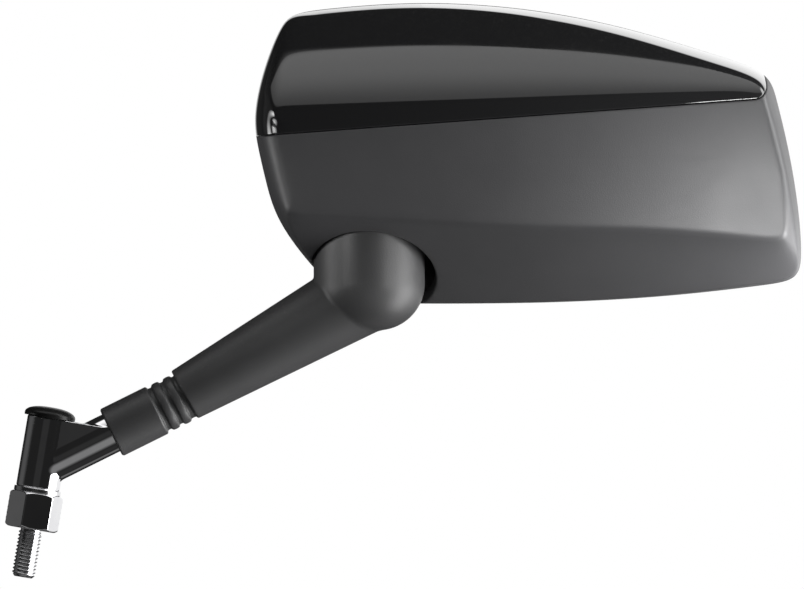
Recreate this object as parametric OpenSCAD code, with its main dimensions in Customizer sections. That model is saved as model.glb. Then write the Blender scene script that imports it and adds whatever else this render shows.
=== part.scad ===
// Left-hand motorcycle mirror: a threaded pivot stud, a chromed stem in a ribbed
// rubber boot, a friction ball joint, and a two-piece housing round a convex glass.
// The origin is on the stud's axis, where the underside of its hexagon meets the
// handlebar perch. +X points outboard, +Y back to the rider and +Z up.

/* [Pivot stud] */
// Diameter of the mounting thread
stud_d = 8; // [6:0.5:12]
// Length of the mounting thread
stud_len = 16.5; // [12:0.5:30]
// Hexagon size across its flats
hex_af = 16; // [14:0.5:20]
// Height of the hexagon
hex_h = 12.5; // [8:0.5:18]
// Lean of the stud from the vertical, in degrees
lean = 9.5; // [0:0.5:20]
// Thickness of the thrust washer
washer_t = 1.6; // [1:0.1:2.5]
// Diameter of the thrust washer
washer_d = 16; // [15:0.5:20]

/* [Stem] */
// Outside diameter of the swivel boss
boss_d = 15; // [14.5:0.5:18]
// Height of the swivel boss
boss_h = 24.3; // [22:0.1:32]
// Diameter of the stem's rod
rod_d = 14; // [12:0.5:14.5]
// Rise of the rod above the horizontal, in degrees
rod_rise = 26.4; // [20:0.1:35]
// Length along the rod, from the boss axis to the elbow
rod_len = 124.5; // [100:0.5:150]
// Height of the ball's centre above the elbow
neck_len = 15.6; // [15:0.1:20]
// Diameter of the neck under the ball
neck_d = 8; // [7:0.5:9]
// Diameter of the ball
ball_d = 20; // [18:0.5:21]

/* [Boot] */
// Diameter of the boot's plain collar
collar_d = 17.8; // [17.4:0.1:20]
// Length of the boot's plain collar
collar_len = 17.7; // [12:0.1:24]
// Distance from the boss axis to the collar, along the rod
collar_start = 26.5; // [25:0.5:32]
// Length of one rib and one groove of the boot
rib_pitch = 4.4; // [3.5:0.1:5]
// Diameter of the boot's upright head
head_d = 37.8; // [36:0.1:40]
// Wall of the boot
boot_wall = 1.7; // [1.2:0.1:2]

/* [Housing] */
// Width of the housing
shell_w = 186; // [160:1:225]
// Height of the housing
shell_h = 102; // [86:1:124]
// Depth from the rear rim to the front crown
shell_d = 61; // [56:1:74]
// Distance from the ball to the housing's rear rim
rim_y = 31; // [30:0.5:36]
// Wall of the lower shell
wall = 2.6; // [2:0.1:3.2]
// Thickness of the gloss cap
cap_t = 2; // [1.6:0.1:2.6]
// Gap round the gloss cap
cap_gap = 0.25; // [0.15:0.05:0.5]
// Diameter of the stem hole in the underside
hole_d = 42.6; // [42:0.1:46]

/* [Glass] */
// Thickness of the glass
glass_t = 2; // [1.6:0.1:3]
// Radius of the glass's convex face
glass_r = 1400; // [1000:50:1800]
// Thickness of the adhesive pad
pad_t = 1; // [0.6:0.1:1.5]
// Thickness of the carrier plate
carrier_t = 2; // [1.6:0.1:3]

/* [Ball joint] */
// Thickness of the nylon seats round the ball
seat_t = 1.95; // [1.5:0.05:2.5]
// Wall of the socket barrel
socket_wall = 2.15; // [1.8:0.05:2.2]
// Running clearance between turning faces
run = 0.05; // [0.03:0.01:0.08]

/* [Hidden] */
$fn = 64;

// Levels along the stud's axis, from the hexagon's underside
boss_z0 = hex_h + washer_t;
boss_z1 = boss_z0 + boss_h;
rod_z = boss_z0 + 7.2;
hex_turn = 7.9;
hex_bevel = 1;
thread_lead = 1;
shank_d = 7.5;
top_thread_d = 6;
nut_af = 10;
nut_h = 5;
nut_washer_t = 1;
recess_d = 12.2;
recess_depth = 12;
recess_z = boss_z1 - recess_depth;
disc_t = 0.5;
disc_cone = 0.29;
disc_d = recess_d - 0.4;
shoulder_z = recess_z + 2 * (disc_t + disc_cone) + 0.02;
thread_end_z = shoulder_z + nut_washer_t + nut_h + 1;
bush_wall = 1;
bush_len = 5;
dome_d = 17.4;
dome_h = 3.7;
dome_edge = 0.9;
skirt_len = 3;
skirt_wall = 0.9;
edge_break = 0.4;

// The elbow and the ball, in the mirror's frame
elbow = [rod_z * sin(lean) + rod_len * cos(rod_rise), 0,
    rod_z * cos(lean) + rod_len * sin(rod_rise)];
ball = elbow + [0, 0, neck_len];

// Stem
web_t = 13;
spigot_d = 6;
spigot_len = 10;
flat_margin = 0.5;
elbow_flat = sqrt(pow(rod_d / 2, 2) - pow(neck_d / 2 + flat_margin, 2));

// Boot
boot_bore = rod_d + 0.1;
groove_d = 15.7;
rib_d = 17.4;
ribs = 2;
groove_share = 0.36;
collar_round = 0.8;
collar_end = collar_start + collar_len;
cone_start = collar_end + (ribs + groove_share) * rib_pitch;
cone_d1 = 18.5;
cone_d2 = 27.2;
cone_tilt = 3;
cone_len = rod_len - cone_start;
cone_shift = 0.5;
cone_wall = 2;
head_low = neck_len + rod_d / 2 + boot_wall;
head_top = 11;
head_round = 16;

// Ball joint
seat_in = ball_d / 2 + run;
seat_out = seat_in + seat_t;
socket_in = seat_out + run;
socket_out = socket_in + socket_wall;
mouth_z = -9;
mouth_lead = 3;
barrel_top = 26;
cup_low = 3.6;
cup_hole = 3;
ring_top = -2.1;
ring_low = -7.3;
plug_h = 6;
plug_key_af = 8;
plug_key_depth = 4;
wire_d = 1.7;
spring_turns = 3.5;
spring_d = 15;
spring_gap = 0.1;
closed_turn = 0.4;
spring_z0 = sqrt(pow(seat_out + wire_d / 2 + spring_gap, 2) - pow(spring_d / 2, 2));
spring_z1 = barrel_top - plug_h - wire_d / 2;
plate_y = -12;
plate_t = 4;
plate_x = 27;
plate_z0 = 20;
plate_z1 = 48;
plate_round = 4;
gusset_t = socket_wall;
gusset_y = 3;
gusset_z = 16;
bracket_post_r = 4;
bracket_screw_d = 4;
bracket_posts = [for (x = [-21, 21], z = [26, 42]) [x, z]];

// Housing outline. Each row holds a point of the rear rim and the point on the
// front creases that it runs to, as percentages of the width and the height.
stations = [
    [-0.3, 62.4, 3.0, 59.0],
    [1.5, 77.8, 3.3, 63.2],
    [4.6, 92.2, 4.4, 64.6],
    [6.8, 97.0, 7.6, 64.8],
    [13.6, 98.6, 13.6, 65.2],
    [29.2, 101.0, 29.2, 66.2],
    [48.0, 99.4, 48.0, 67.4],
    [66.8, 93.2, 66.8, 68.8],
    [84.6, 83.0, 84.2, 69.8],
    [94.4, 77.4, 92.4, 70.0],
    [95.7, 68.8, 94.0, 64.8],
    [98.2, 50.2, 95.4, 49.2],
    [99.9, 30.6, 97.0, 32.4],
    [100.4, 16.8, 97.4, 23.6],
    [100.0, 7.6, 96.2, 20.8],
    [93.8, 6.0, 90.0, 21.8],
    [76.6, 2.2, 73.4, 25.0],
    [56.2, 0.0, 53.4, 28.6],
    [34.6, -0.3, 33.0, 29.0],
    [17.2, -0.2, 15.2, 29.0],
    [9.8, 13.4, 8.8, 29.0],
    [3.8, 28.4, 5.8, 30.2],
    [2.0, 41.4, 4.6, 39.4],
    [0.6, 52.2, 3.5, 50.2]];
laps = len(stations);
shell_left = 39.2;
shell_drop = 15;
front_y = rim_y - shell_d;
crown_x = 4;
crown_z = 2.5;
top_slope = 0.35;
top_curl = 0.5;
band_slope = 1.43;
edge_round = 6.5;
edge_power = 2.3;
crease_blend = 3;
parting_x = -29.3;
parting_z = 42.1;
parting_rise = 4.2;
cap_end_x = shell_w * 0.942 - shell_left;
cap_corner = 5;
cap_seat = cap_t + cap_gap;
joggle_start = 9;
joggle_run = 7;
inner_cap_wall = 2.2;
hole_x = 1.3;
hole_top = 16;
outer_around = 84;
outer_rings = 11;
inner_around = 60;
inner_rings = 7;
profile_steps = 36;

// Levels of the glass pack at its edge, from the ball
ledge_y = 21.8;
ledge_t = 2;
ledge_w = 1.7;
cap_rear = rim_y - ledge_y + ledge_t + 0.8;
planted = 1.3;
pack_inset = wall + 0.9;
glass_apex = rim_y - 0.6;
glass_mid = [shell_w / 2 - shell_left, shell_h / 2 - shell_drop];
bond_gap = 0.1;
tray_rim = 3;
seal_lip = 1.2;
seal_top = 0.6;
dome_out = (shell_w + shell_h) / 2;
dome_ring = dome_out / 12;
post_r = 3;
screw_d = 3;
carrier_head_d = 5.4;
carrier_head_h = 1.6;
// Posts, as percentages of the housing's width and height
carrier_posts = [for (p = [[9.2, 77.5], [44.7, 83.3], [81.3, 67.6], [85.6, 28.4], [45.8, 13.7]])
    shell_at(p)];
cap_posts = [for (p = [[17, 81.4], [31.8, 85.3], [71.6, 77]]) shell_at(p)];
cap_post_back = 9;
cap_screw_d = 2.5;

// Frames
module on_stud() rotate([0, lean, 0]) children();
module on_rod() on_stud() translate([0, 0, rod_z]) rotate([0, 90 - rod_rise - lean, 0])
    children();
module on_ball() translate(ball) children();
module along_y(y0, y1) translate([0, y1, 0]) rotate([90, 0, 0])
    linear_extrude(y1 - y0) children();
module rod_y(p, y0, y1, d, sides = 40) translate([p[0], y1, p[1]]) rotate([90, 0, 0])
    cylinder(h = y1 - y0, d = d, $fn = sides);
module tube(d_out, d_in, h) difference() {
    cylinder(h = h, d = d_out);
    translate([0, 0, -1]) cylinder(h = h + 2, d = d_in);
}
// Hexagonal prism with its corners turned off at both ends
module hexagon(af, h, bevel) intersection() {
    cylinder(h = h, d = af / cos(30), $fn = 6);
    rotate_extrude() polygon([[0, 0], [af / 2, 0], [af / 2 + bevel, bevel * 0.6],
        [af / 2 + bevel * 2, bevel * 1.2], [af / 2 + bevel * 2, h - bevel * 1.2],
        [af / 2 + bevel, h - bevel * 0.6], [af / 2, h], [0, h]]);
}

// A place given in percentages of the housing's width and height
function shell_at(p) = [p[0] / 100 * shell_w - shell_left, p[1] / 100 * shell_h - shell_drop];
// Sum of four rows, each times its weight
function mix(w, rows) = [for (c = [0:3])
    w[0] * rows[0][c] + w[1] * rows[1][c] + w[2] * rows[2][c] + w[3] * rows[3][c]];
// The closed cubic spline through the stations, at s stations round
function station(s) =
    let (i = floor(s), t = s - i,
        w = [pow(1 - t, 3), 3 * pow(t, 3) - 6 * pow(t, 2) + 4,
            -3 * pow(t, 3) + 3 * pow(t, 2) + 3 * t + 1, pow(t, 3)] / 6,
        row = mix(w, [for (k = [-1:2]) stations[(i + k + laps) % laps]]))
    concat(shell_at([row[0], row[1]]), shell_at([row[2], row[3]]));
// The inward normal of the rim, in the XZ plane
function rim_normal(s) =
    let (a = station(s + 0.02), b = station(s + laps - 0.02), d = [a[0] - b[0], a[1] - b[1]])
    [d[1], -d[0]] / norm(d);
function rim_point(s, inset) =
    let (p = station(s), n = rim_normal(s)) [p[0] + n[0] * inset, p[1] + n[1] * inset];
function rim_outline(inset, around) =
    [for (i = [0:around - 1]) rim_point(i * laps / around, inset)];
function smooth_max(a, b, k) = max(a, b) + pow(max(k - abs(a - b), 0), 2) / (4 * k);

// Depth of the crowned front face, of the top dome above it and the band below it
function face_y(x, z) = front_y
    + crown_x * pow((x + shell_left) * 2 / shell_w - 1, 2)
    + crown_z * pow((z + shell_drop) * 2 / shell_h - 0.9, 2);
function top_y(up, full) = top_slope * up + top_curl * up * up / full;
function thicker(slope, away) = (norm([1, slope]) - 1) * min(1, away / 10);
function main_y(q, crease, full, off) =
    let (up = max(0, q[1] - crease), down = max(0, crease - q[1]) * (full < 0 ? 1 : 0))
    face_y(q[0], q[1]) + (full > 0 ? top_y(up, full) : band_slope * down)
        + off * (1 + thicker(full > 0 ? top_slope + up / full : band_slope, up + down));
// How far a skin lies inside the outer one: off is [below the parting line, above it]
function line_z(x) = parting_z + (x - parting_x) * tan(parting_rise);
function ease(t) = let (c = max(0, min(1, t))) c * c * (3 - 2 * c);
function depth_at(q, off) = off[0]
    + (off[1] - off[0]) * ease((q[1] - line_z(q[0]) + joggle_start) / joggle_run);
// Depth of the rounded edge wall at a distance in from the rim
function edge_y(e) = let (u = max(0, 1 - e / edge_round))
    rim_y - (shell_d + 3) * pow(1 - pow(u, edge_power), 1 / edge_power);

// A point of the skin moved inwards by off. t is 0 at the rim and 1 at the crease.
function wall_point(s, t, off) =
    let (p = station(s), n = rim_normal(s), rim = [p[0], p[1]],
        base = rim + ([p[2], p[3]] - rim) * t, deep = depth_at(base, off),
        q = base + n * deep, rise = p[1] - p[3], full = rise > 0 ? max(1, rise) : -1)
    [q[0], min(rim_y, smooth_max(main_y(q, p[3], full, deep),
        edge_y((base - rim) * n), crease_blend)), q[1]];
// A point of the front face. t is 0 at the crease and 1 on the face's middle line.
function face_point(s, t, off) =
    let (p = station(s), n = rim_normal(s), crease = [p[2], p[3]],
        to = [max(-8, min(p[2], shell_w - shell_left - 26)), shell_h * 0.48 - shell_drop],
        base = crease + (to - crease) * t, deep = depth_at(base, off),
        q = base + n * deep * (1 - t))
    [q[0], face_y(q[0], q[1]) + deep, q[1]];
// Values of t that divide the wall's profile into equal lengths
function even_steps(s, rings) =
    let (ts = [for (k = [0:profile_steps]) pow(k / profile_steps, 2.2)],
        pts = [for (t = ts) wall_point(s, t, [0, 0])],
        far = [for (k = 0, d = 0; k <= profile_steps;
            d = d + (k < profile_steps ? norm(pts[k + 1] - pts[k]) : 0), k = k + 1)
            [d, ts[k]]])
    [for (k = [0:rings]) lookup(far[profile_steps][0] * k / rings, far)];
face_ts = [0.35, 0.7, 0.93];

// Solid between the skin moved inwards by off and the rim's plane, moved back by lift
module skin(off, around, rings, lift = 0) {
    turns = [for (i = [0:around - 1]) i * laps / around];
    steps = [for (s = turns) even_steps(s, rings)];
    rim = [for (s = turns) let (r = rim_point(s, depth_at(rim_point(s, 0), off)))
        [r[0], rim_y + lift, r[1]]];
    walls = [for (k = [1:rings]) [for (i = [0:around - 1]) wall_point(turns[i], steps[i][k], off)]];
    faces = [for (t = face_ts) [for (s = turns) face_point(s, t, off)]];
    rows = concat([rim], walls, faces);
    last = (len(rows) - 1) * around;
    half = around / 2;
    polyhedron(
        points = [for (row = rows) each row],
        faces = concat(
            [[for (i = [around - 1:-1:0]) i]],
            [for (k = [0:len(rows) - 2], i = [0:around - 1]) let (j = (i + 1) % around)
                each [[k * around + i, k * around + j, (k + 1) * around + j],
                    [k * around + i, (k + 1) * around + j, (k + 1) * around + i]]],
            [for (i = [1:half - 2]) each [[last + i, last + i + 1, last + around - i - 1],
                [last + i, last + around - i - 1, last + around - i]]],
            [[last, last + 1, last + around - 1],
                [last + half - 1, last + half, last + half + 1]]),
        convexity = 4);
}
// Depth of the skin at a place off the rim, for what is planted on it
function skin_y(p) = face_y(p[0], p[1])
    + top_y(max(0, p[1] - top_crease_z(p[0])), top_run(p[0]))
    + band_slope * max(0, low_crease_z(p[0]) - p[1]);
function along_w(x) = (x + shell_left) / shell_w * 100;
function top_crease_z(x) = shell_at([0, 64.3 + 0.066 * along_w(x)])[1];
function top_run(x) = (34 - 0.56 * max(0, along_w(x) - 50)) / 100 * shell_h;
function low_crease_z(x) = shell_h * (0.29 - 0.001 * max(0, x - glass_mid[0])) - shell_drop;
function planted_y(p, r, off) = max(skin_y([p[0], p[1] + r]), skin_y([p[0], p[1] - r])) + off;
function inside_y(p, r) = planted_y(p, r, p[1] > line_z(p[0]) - r ? cap_seat + planted : wall / 2);
function cap_seat_y(p) = skin_y(p) + cap_post_back;

// Pivot stud: mounting thread, hexagon, shank and top thread, turned from one bar
module pivot_stud() color([0.75, 0.76, 0.78]) on_stud() {
    rotate(hex_turn) hexagon(hex_af, hex_h, hex_bevel);
    rotate_extrude() polygon([[0, -stud_len], [stud_d / 2 - thread_lead, -stud_len],
        [stud_d / 2, thread_lead - stud_len], [stud_d / 2, hex_h / 2],
        [shank_d / 2, hex_h / 2], [shank_d / 2, shoulder_z], [top_thread_d / 2, shoulder_z],
        [top_thread_d / 2, thread_end_z - edge_break],
        [top_thread_d / 2 - edge_break, thread_end_z], [0, thread_end_z]]);
}
module thrust_washer() color([0.85, 0.86, 0.88]) on_stud() translate([0, 0, hex_h])
    tube(washer_d, shank_d + 0.4, washer_t);
module disc_springs() color([0.45, 0.46, 0.48]) on_stud() translate([0, 0, recess_z]) {
    inner = shank_d / 2 + 0.2;
    outer = disc_d / 2;
    rotate_extrude() polygon([[inner, 0], [outer, disc_cone], [outer, disc_cone + disc_t],
        [inner, disc_t]]);
    translate([0, 0, 2 * (disc_cone + disc_t) + 0.02]) mirror([0, 0, 1])
        rotate_extrude() polygon([[inner, 0], [outer, disc_cone], [outer, disc_cone + disc_t],
            [inner, disc_t]]);
}
module nut_washer() color([0.7, 0.71, 0.72]) on_stud() translate([0, 0, shoulder_z])
    tube(nut_af + 1, top_thread_d, nut_washer_t);
module lock_nut() color([0.7, 0.71, 0.72]) on_stud()
    translate([0, 0, shoulder_z + nut_washer_t]) difference() {
        hexagon(nut_af, nut_h, 0.6);
        translate([0, 0, -1]) cylinder(h = nut_h + 2, d = top_thread_d);
    }

// Stem: swivel boss, web, rod and elbow, cast in one and chromed
module stem_arm() color([0.8, 0.81, 0.83]) difference() {
    union() {
        on_stud() {
            translate([0, 0, boss_z0]) rotate_extrude() polygon([[0, 0],
                [boss_d / 2 - edge_break, 0], [boss_d / 2, edge_break],
                [boss_d / 2, boss_h - edge_break], [boss_d / 2 - edge_break, boss_h], [0, boss_h]]);
            along_y(-web_t / 2, web_t / 2) polygon([[0, rod_z], [0, boss_z1],
                [(boss_z1 - rod_z) / tan(rod_rise + lean), boss_z1]]);
        }
        on_rod() rotate_extrude() intersection() {
            square([rod_d / 2, rod_len + rod_d]);
            union() {
                square([rod_d / 2, rod_len]);
                translate([0, rod_len]) circle(d = rod_d);
            }
        }
    }
    on_stud() {
        translate([0, 0, boss_z0 - 1]) cylinder(h = boss_h + 2, d = shank_d + 2 * run + 2 * bush_wall);
        translate([0, 0, recess_z]) cylinder(h = recess_depth + 1, d = recess_d);
    }
    translate(elbow) {
        translate([0, 0, elbow_flat]) cylinder(h = rod_d, d = rod_d);
        translate([0, 0, elbow_flat - spigot_len]) cylinder(h = spigot_len + 1, d = spigot_d);
    }
}
module boss_bushes() color([0.72, 0.58, 0.32]) on_stud()
    for (z = [boss_z0, recess_z - bush_len]) translate([0, 0, z])
        tube(shank_d + 2 * run + 2 * bush_wall, shank_d + 2 * run, bush_len);
// Plug that closes the boss: a dome on a skirt
module boss_cap() color([0.06, 0.06, 0.07]) on_stud() translate([0, 0, boss_z1]) {
    rise = dome_h - dome_edge;
    rotate_extrude() polygon(concat([[0, 0], [dome_d / 2, 0]],
        [for (a = [0:10:80]) [dome_d / 2 * pow(cos(a), 0.8), dome_edge + rise * sin(a)]],
        [[0, dome_h]]));
    translate([0, 0, -skirt_len]) tube(recess_d, recess_d - 2 * skirt_wall, skirt_len);
}
module pivot_ball() color([0.75, 0.76, 0.78]) on_ball() {
    sphere(d = ball_d, $fn = 96);
    translate([0, 0, elbow_flat - neck_len])
        cylinder(h = neck_len - elbow_flat, d = neck_d);
    translate([0, 0, elbow_flat - neck_len - spigot_len])
        cylinder(h = spigot_len + 1, d = spigot_d);
}

// Boot: collar, ribs, flared sleeve and open-topped head, moulded in one
module boot_head(d, low, high, round_r) rotate_extrude() intersection() {
    translate([0, -low]) square([d / 2, low + high]);
    union() {
        translate([0, -low]) square([d / 2 - round_r, low]);
        translate([d / 2 - round_r, round_r - low]) circle(r = round_r);
        translate([0, round_r - low]) square([d / 2, low + high]);
    }
}
module boot_collar(d, len, r) rotate_extrude() polygon(concat(
    [[0, 0]], [for (a = [-90:15:0]) [d / 2 - r + r * cos(a), r + r * sin(a)]],
    [for (a = [0:15:90]) [d / 2 - r + r * cos(a), len - r + r * sin(a)]], [[0, len]]));
module on_cone() on_rod() translate([-cone_shift, 0, cone_start]) rotate([0, -cone_tilt, 0])
    children();
module arm_boot() color([0.2, 0.2, 0.21]) difference() {
    union() {
        on_rod() {
            translate([0, 0, collar_start]) boot_collar(collar_d, collar_len, collar_round);
            translate([0, 0, collar_end - 1])
                cylinder(h = cone_start - collar_end + 2, d = groove_d);
            for (i = [0:ribs - 1]) translate([0, 0, collar_end + (i + groove_share) * rib_pitch])
                boot_collar(rib_d, rib_pitch * (1 - groove_share), collar_round);
        }
        on_cone() cylinder(h = cone_len, d1 = cone_d1, d2 = cone_d2);
        on_ball() boot_head(head_d, head_low, head_top, head_round);
    }
    on_rod() translate([0, 0, collar_start - 1]) cylinder(h = rod_len - collar_start + 1, d = boot_bore);
    on_cone() translate([0, 0, cone_wall])
        cylinder(h = cone_len, d1 = boot_bore, d2 = cone_d2 - 2 * cone_wall);
    on_ball() boot_head(head_d - 2 * boot_wall, head_low - boot_wall, head_top + 1,
        head_round - boot_wall);
}

// Ball joint: two seats round the ball, in a barrel that the bracket carries
module seat_shell(z0, z1) intersection() {
    difference() {
        sphere(r = seat_out, $fn = 96);
        sphere(r = seat_in, $fn = 96);
    }
    translate([0, 0, z0]) cylinder(h = z1 - z0, r = seat_out + 1);
}
module pressure_cup() color([0.9, 0.9, 0.86]) on_ball() difference() {
    seat_shell(cup_low, seat_out + 1);
    cylinder(h = seat_out + 1, d = cup_hole);
}
module ball_seat_ring() color([0.9, 0.9, 0.86]) on_ball() seat_shell(ring_low, ring_top);
module socket_bracket() color([0.55, 0.56, 0.58]) on_ball() difference() {
    union() {
        translate([0, 0, mouth_z])
            cylinder(h = mouth_lead, r1 = socket_out - mouth_lead, r2 = socket_out);
        translate([0, 0, mouth_z + mouth_lead])
            cylinder(h = barrel_top - mouth_z - mouth_lead, r = socket_out);
        along_y(plate_y, plate_y + plate_t) hull() for (x = [-1, 1],
            z = [plate_z0 + plate_round, plate_z1 - plate_round])
            translate([x * (plate_x - plate_round), z]) circle(r = plate_round, $fn = 32);
        for (side = [-1, 1]) translate([side * (socket_in + gusset_t / 2), 0, 0])
            rotate([90, 0, 90]) translate([0, 0, -gusset_t / 2]) linear_extrude(gusset_t)
                polygon([[plate_y + 1, plate_z0], [plate_y + 1, plate_z1 - plate_round],
                    [plate_y + plate_t, plate_z1 - plate_round], [gusset_y, barrel_top],
                    [gusset_y, gusset_z], [-gusset_y, gusset_z]]);
    }
    cylinder(h = plate_z1, r = socket_in);
    sphere(r = socket_in, $fn = 96);
    for (p = bracket_posts) rod_y(p, plate_y - 1, plate_y + plate_t + 1, bracket_screw_d);
}
module tension_plug() color([0.6, 0.6, 0.62]) on_ball()
    translate([0, 0, barrel_top - plug_h]) difference() {
        cylinder(h = plug_h, r = socket_in - run);
        translate([0, 0, plug_h - plug_key_depth])
            cylinder(h = plug_key_depth + 1, d = plug_key_af / cos(30), $fn = 6);
    }
// Coil spring between the cup and the plug, its end turns closed flat
function spring_lift(t) = max(0, min(1,
    (t * spring_turns - closed_turn) / (spring_turns - 2 * closed_turn)));
module joint_spring() color([0.4, 0.41, 0.43]) on_ball() {
    steps = 60;
    sides = 8;
    polyhedron(
        points = [for (i = [0:steps], k = [0:sides - 1])
            let (a = i / steps * 360 * spring_turns, b = k * 360 / sides,
                r = spring_d / 2 + wire_d / 2 * cos(b))
            [r * cos(a), r * sin(a),
                spring_z0 + (spring_z1 - spring_z0) * spring_lift(i / steps) + wire_d / 2 * sin(b)]],
        faces = concat(
            [for (i = [0:steps - 1], k = [0:sides - 1]) let (j = (k + 1) % sides)
                each [[i * sides + k, i * sides + j, (i + 1) * sides + j],
                    [i * sides + k, (i + 1) * sides + j, (i + 1) * sides + k]]],
            [[for (k = [sides - 1:-1:0]) k],
                [for (k = [0:sides - 1]) steps * sides + k]]),
        convexity = 6);
}
// Pan-head screw along Y, with its head's seat at p and its point to the front
module screw_y(p, seat, d, len) {
    rod_y(p, seat - len, seat + 0.5, d);
    difference() {
        rod_y(p, seat, seat + d * 0.6, d * 1.8);
        for (turn = [0, 90]) translate([p[0], seat + d * 0.6, p[1]]) rotate([0, turn, 0])
            cube([d, d * 0.6, d * 0.22], center = true);
    }
}
module bracket_screws() color([0.7, 0.7, 0.72]) on_ball()
    for (p = bracket_posts) screw_y(p, plate_y + plate_t, bracket_screw_d, plate_t + 7);

// Part of the housing's front that the gloss cap covers
module cap_zone(gap) translate([parting_x, 0, parting_z]) rotate([0, -parting_rise, 0])
    along_y(front_y - 20, rim_y - cap_rear - gap) {
        far = cap_end_x - parting_x - gap;
        translate([-20, gap]) square([20 + far - cap_corner, shell_h]);
        translate([-20, gap + cap_corner]) square([20 + far, shell_h]);
        translate([far - cap_corner, gap + cap_corner]) circle(r = cap_corner);
    }
module stem_hole() translate([hole_x, 0, -shell_drop - 20])
    cylinder(h = shell_drop + 20 + hole_top, d = hole_d, $fn = 96);
module housing_shell() color([0.22, 0.22, 0.23]) on_ball() difference() {
    union() {
        difference() {
            union() {
                difference() {
                    skin([0, 0], outer_around, outer_rings);
                    cap_zone(0);
                }
                skin([cap_seat, cap_seat], outer_around, outer_rings, -3);
            }
            skin([wall, cap_seat + inner_cap_wall], inner_around, inner_rings, 2);
            along_y(ledge_y, rim_y + 2) polygon(rim_outline(wall, outer_around));
        }
        along_y(ledge_y - ledge_t, ledge_y) difference() {
            polygon(rim_outline(wall - 0.6, outer_around));
            polygon(rim_outline(wall + ledge_w, outer_around));
        }
        for (p = bracket_posts) rod_y(p, inside_y(p, bracket_post_r), plate_y, 2 * bracket_post_r);
        for (p = carrier_posts) rod_y(p, inside_y(p, post_r), ledge_y, 2 * post_r);
        for (p = cap_posts) rod_y(p, planted_y(p, post_r + 2, cap_seat + planted),
            cap_seat_y(p) + 2, 2 * post_r + 4);
    }
    stem_hole();
    for (p = bracket_posts) rod_y(p, plate_y - 8, plate_y + 1, bracket_screw_d);
    for (p = carrier_posts) rod_y(p, ledge_y - 9, ledge_y + 1, screw_d);
    for (p = cap_posts) {
        rod_y(p, front_y - 10, cap_seat_y(p), 2 * post_r + 0.5);
        rod_y(p, cap_seat_y(p) - 1, cap_seat_y(p) + 3, cap_screw_d);
    }
}
module upper_cap() color([0.05, 0.05, 0.055]) on_ball() difference() {
    union() {
        difference() {
            intersection() {
                skin([0, 0], outer_around, outer_rings);
                cap_zone(cap_gap);
            }
            skin([cap_t, cap_t], outer_around, outer_rings, 2);
        }
        for (p = cap_posts) rod_y(p, planted_y(p, post_r, 1), cap_seat_y(p), 2 * post_r);
    }
    for (p = cap_posts) rod_y(p, cap_seat_y(p) - 6, cap_seat_y(p) + 1, cap_screw_d);
}
module cap_screws() color([0.7, 0.7, 0.72]) on_ball()
    for (p = cap_posts) screw_y(p, cap_seat_y(p) + 2, cap_screw_d, 7);

// Glass pack: each layer is a slice between two spheres about the glass's centre
module pack_ball(depth) translate([glass_mid[0], glass_apex - glass_r, glass_mid[1]])
    sphere(r = glass_r - depth, $fn = 720);
// Depth of such a sphere at a place off the rim
function pack_y(p, depth) = glass_apex - glass_r
    + sqrt(pow(glass_r - depth, 2) - pow(norm(p - glass_mid), 2));
function carrier_seat_y(p) = pack_y(p, glass_t + pad_t) - carrier_head_h - 0.4;
module pack_slab(inset, front, back, trim = 0) along_y(front, back) offset(delta = -trim)
    polygon(rim_outline(inset, outer_around));
module pack_layer(inset, depth, thick) difference() {
    intersection() {
        pack_slab(inset, ledge_y - 5, rim_y + 5);
        pack_ball(depth);
    }
    pack_ball(depth + thick);
}
// Block inside the pack's outline, up to a dome of cone rings that follows such a sphere
module pack_block(inset, front, depth, trim = 0) intersection() {
    pack_slab(inset, front, rim_y + 5, trim);
    translate([glass_mid[0], 0, glass_mid[1]]) rotate([-90, 0, 0])
        rotate_extrude($fn = 120) polygon(concat([[0, 0]],
            [for (r = [0:dome_ring:dome_out]) [r, pack_y(glass_mid + [r, 0], depth)]],
            [[dome_out, 0]]));
}
module glass_carrier() color([0.15, 0.15, 0.16]) on_ball() difference() {
    union() {
        difference() {
            pack_block(pack_inset, ledge_y, glass_t + pad_t);
            pack_block(pack_inset, ledge_y - 1, glass_t + pad_t + carrier_t, tray_rim);
        }
        for (p = carrier_posts) rod_y(p, ledge_y, pack_y(p, glass_t + pad_t + carrier_t / 2),
            2 * post_r + 2);
    }
    for (p = carrier_posts) {
        rod_y(p, ledge_y - 1, rim_y, screw_d + 0.4);
        rod_y(p, carrier_seat_y(p), rim_y + 1, carrier_head_d + 0.4);
    }
}
module carrier_screws() color([0.7, 0.7, 0.72]) on_ball() for (p = carrier_posts) {
    rod_y(p, ledge_y - 8, carrier_seat_y(p) + 0.5, screw_d);
    rod_y(p, carrier_seat_y(p), carrier_seat_y(p) + carrier_head_h, carrier_head_d);
}
module glass_pad() color([0.3, 0.3, 0.31]) on_ball()
    pack_layer(pack_inset + 1, glass_t + bond_gap, pad_t - 2 * bond_gap);
module mirror_glass() color([0.8, 0.84, 0.88]) on_ball()
    pack_layer(pack_inset, 0, glass_t);
module glass_seal() color([0.08, 0.08, 0.08]) on_ball() difference() {
    pack_block(wall, ledge_y, -seal_top);
    pack_block(pack_inset, ledge_y - 1, -bond_gap);
    pack_slab(pack_inset + seal_lip, ledge_y - 2, rim_y + 6);
}

pivot_stud();
thrust_washer();
disc_springs();
nut_washer();
lock_nut();
stem_arm();
boss_bushes();
boss_cap();
pivot_ball();
arm_boot();
pressure_cup();
ball_seat_ring();
socket_bracket();
joint_spring();
tension_plug();
bracket_screws();
housing_shell();
upper_cap();
cap_screws();
glass_carrier();
carrier_screws();
glass_pad();
mirror_glass();
glass_seal();
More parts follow.
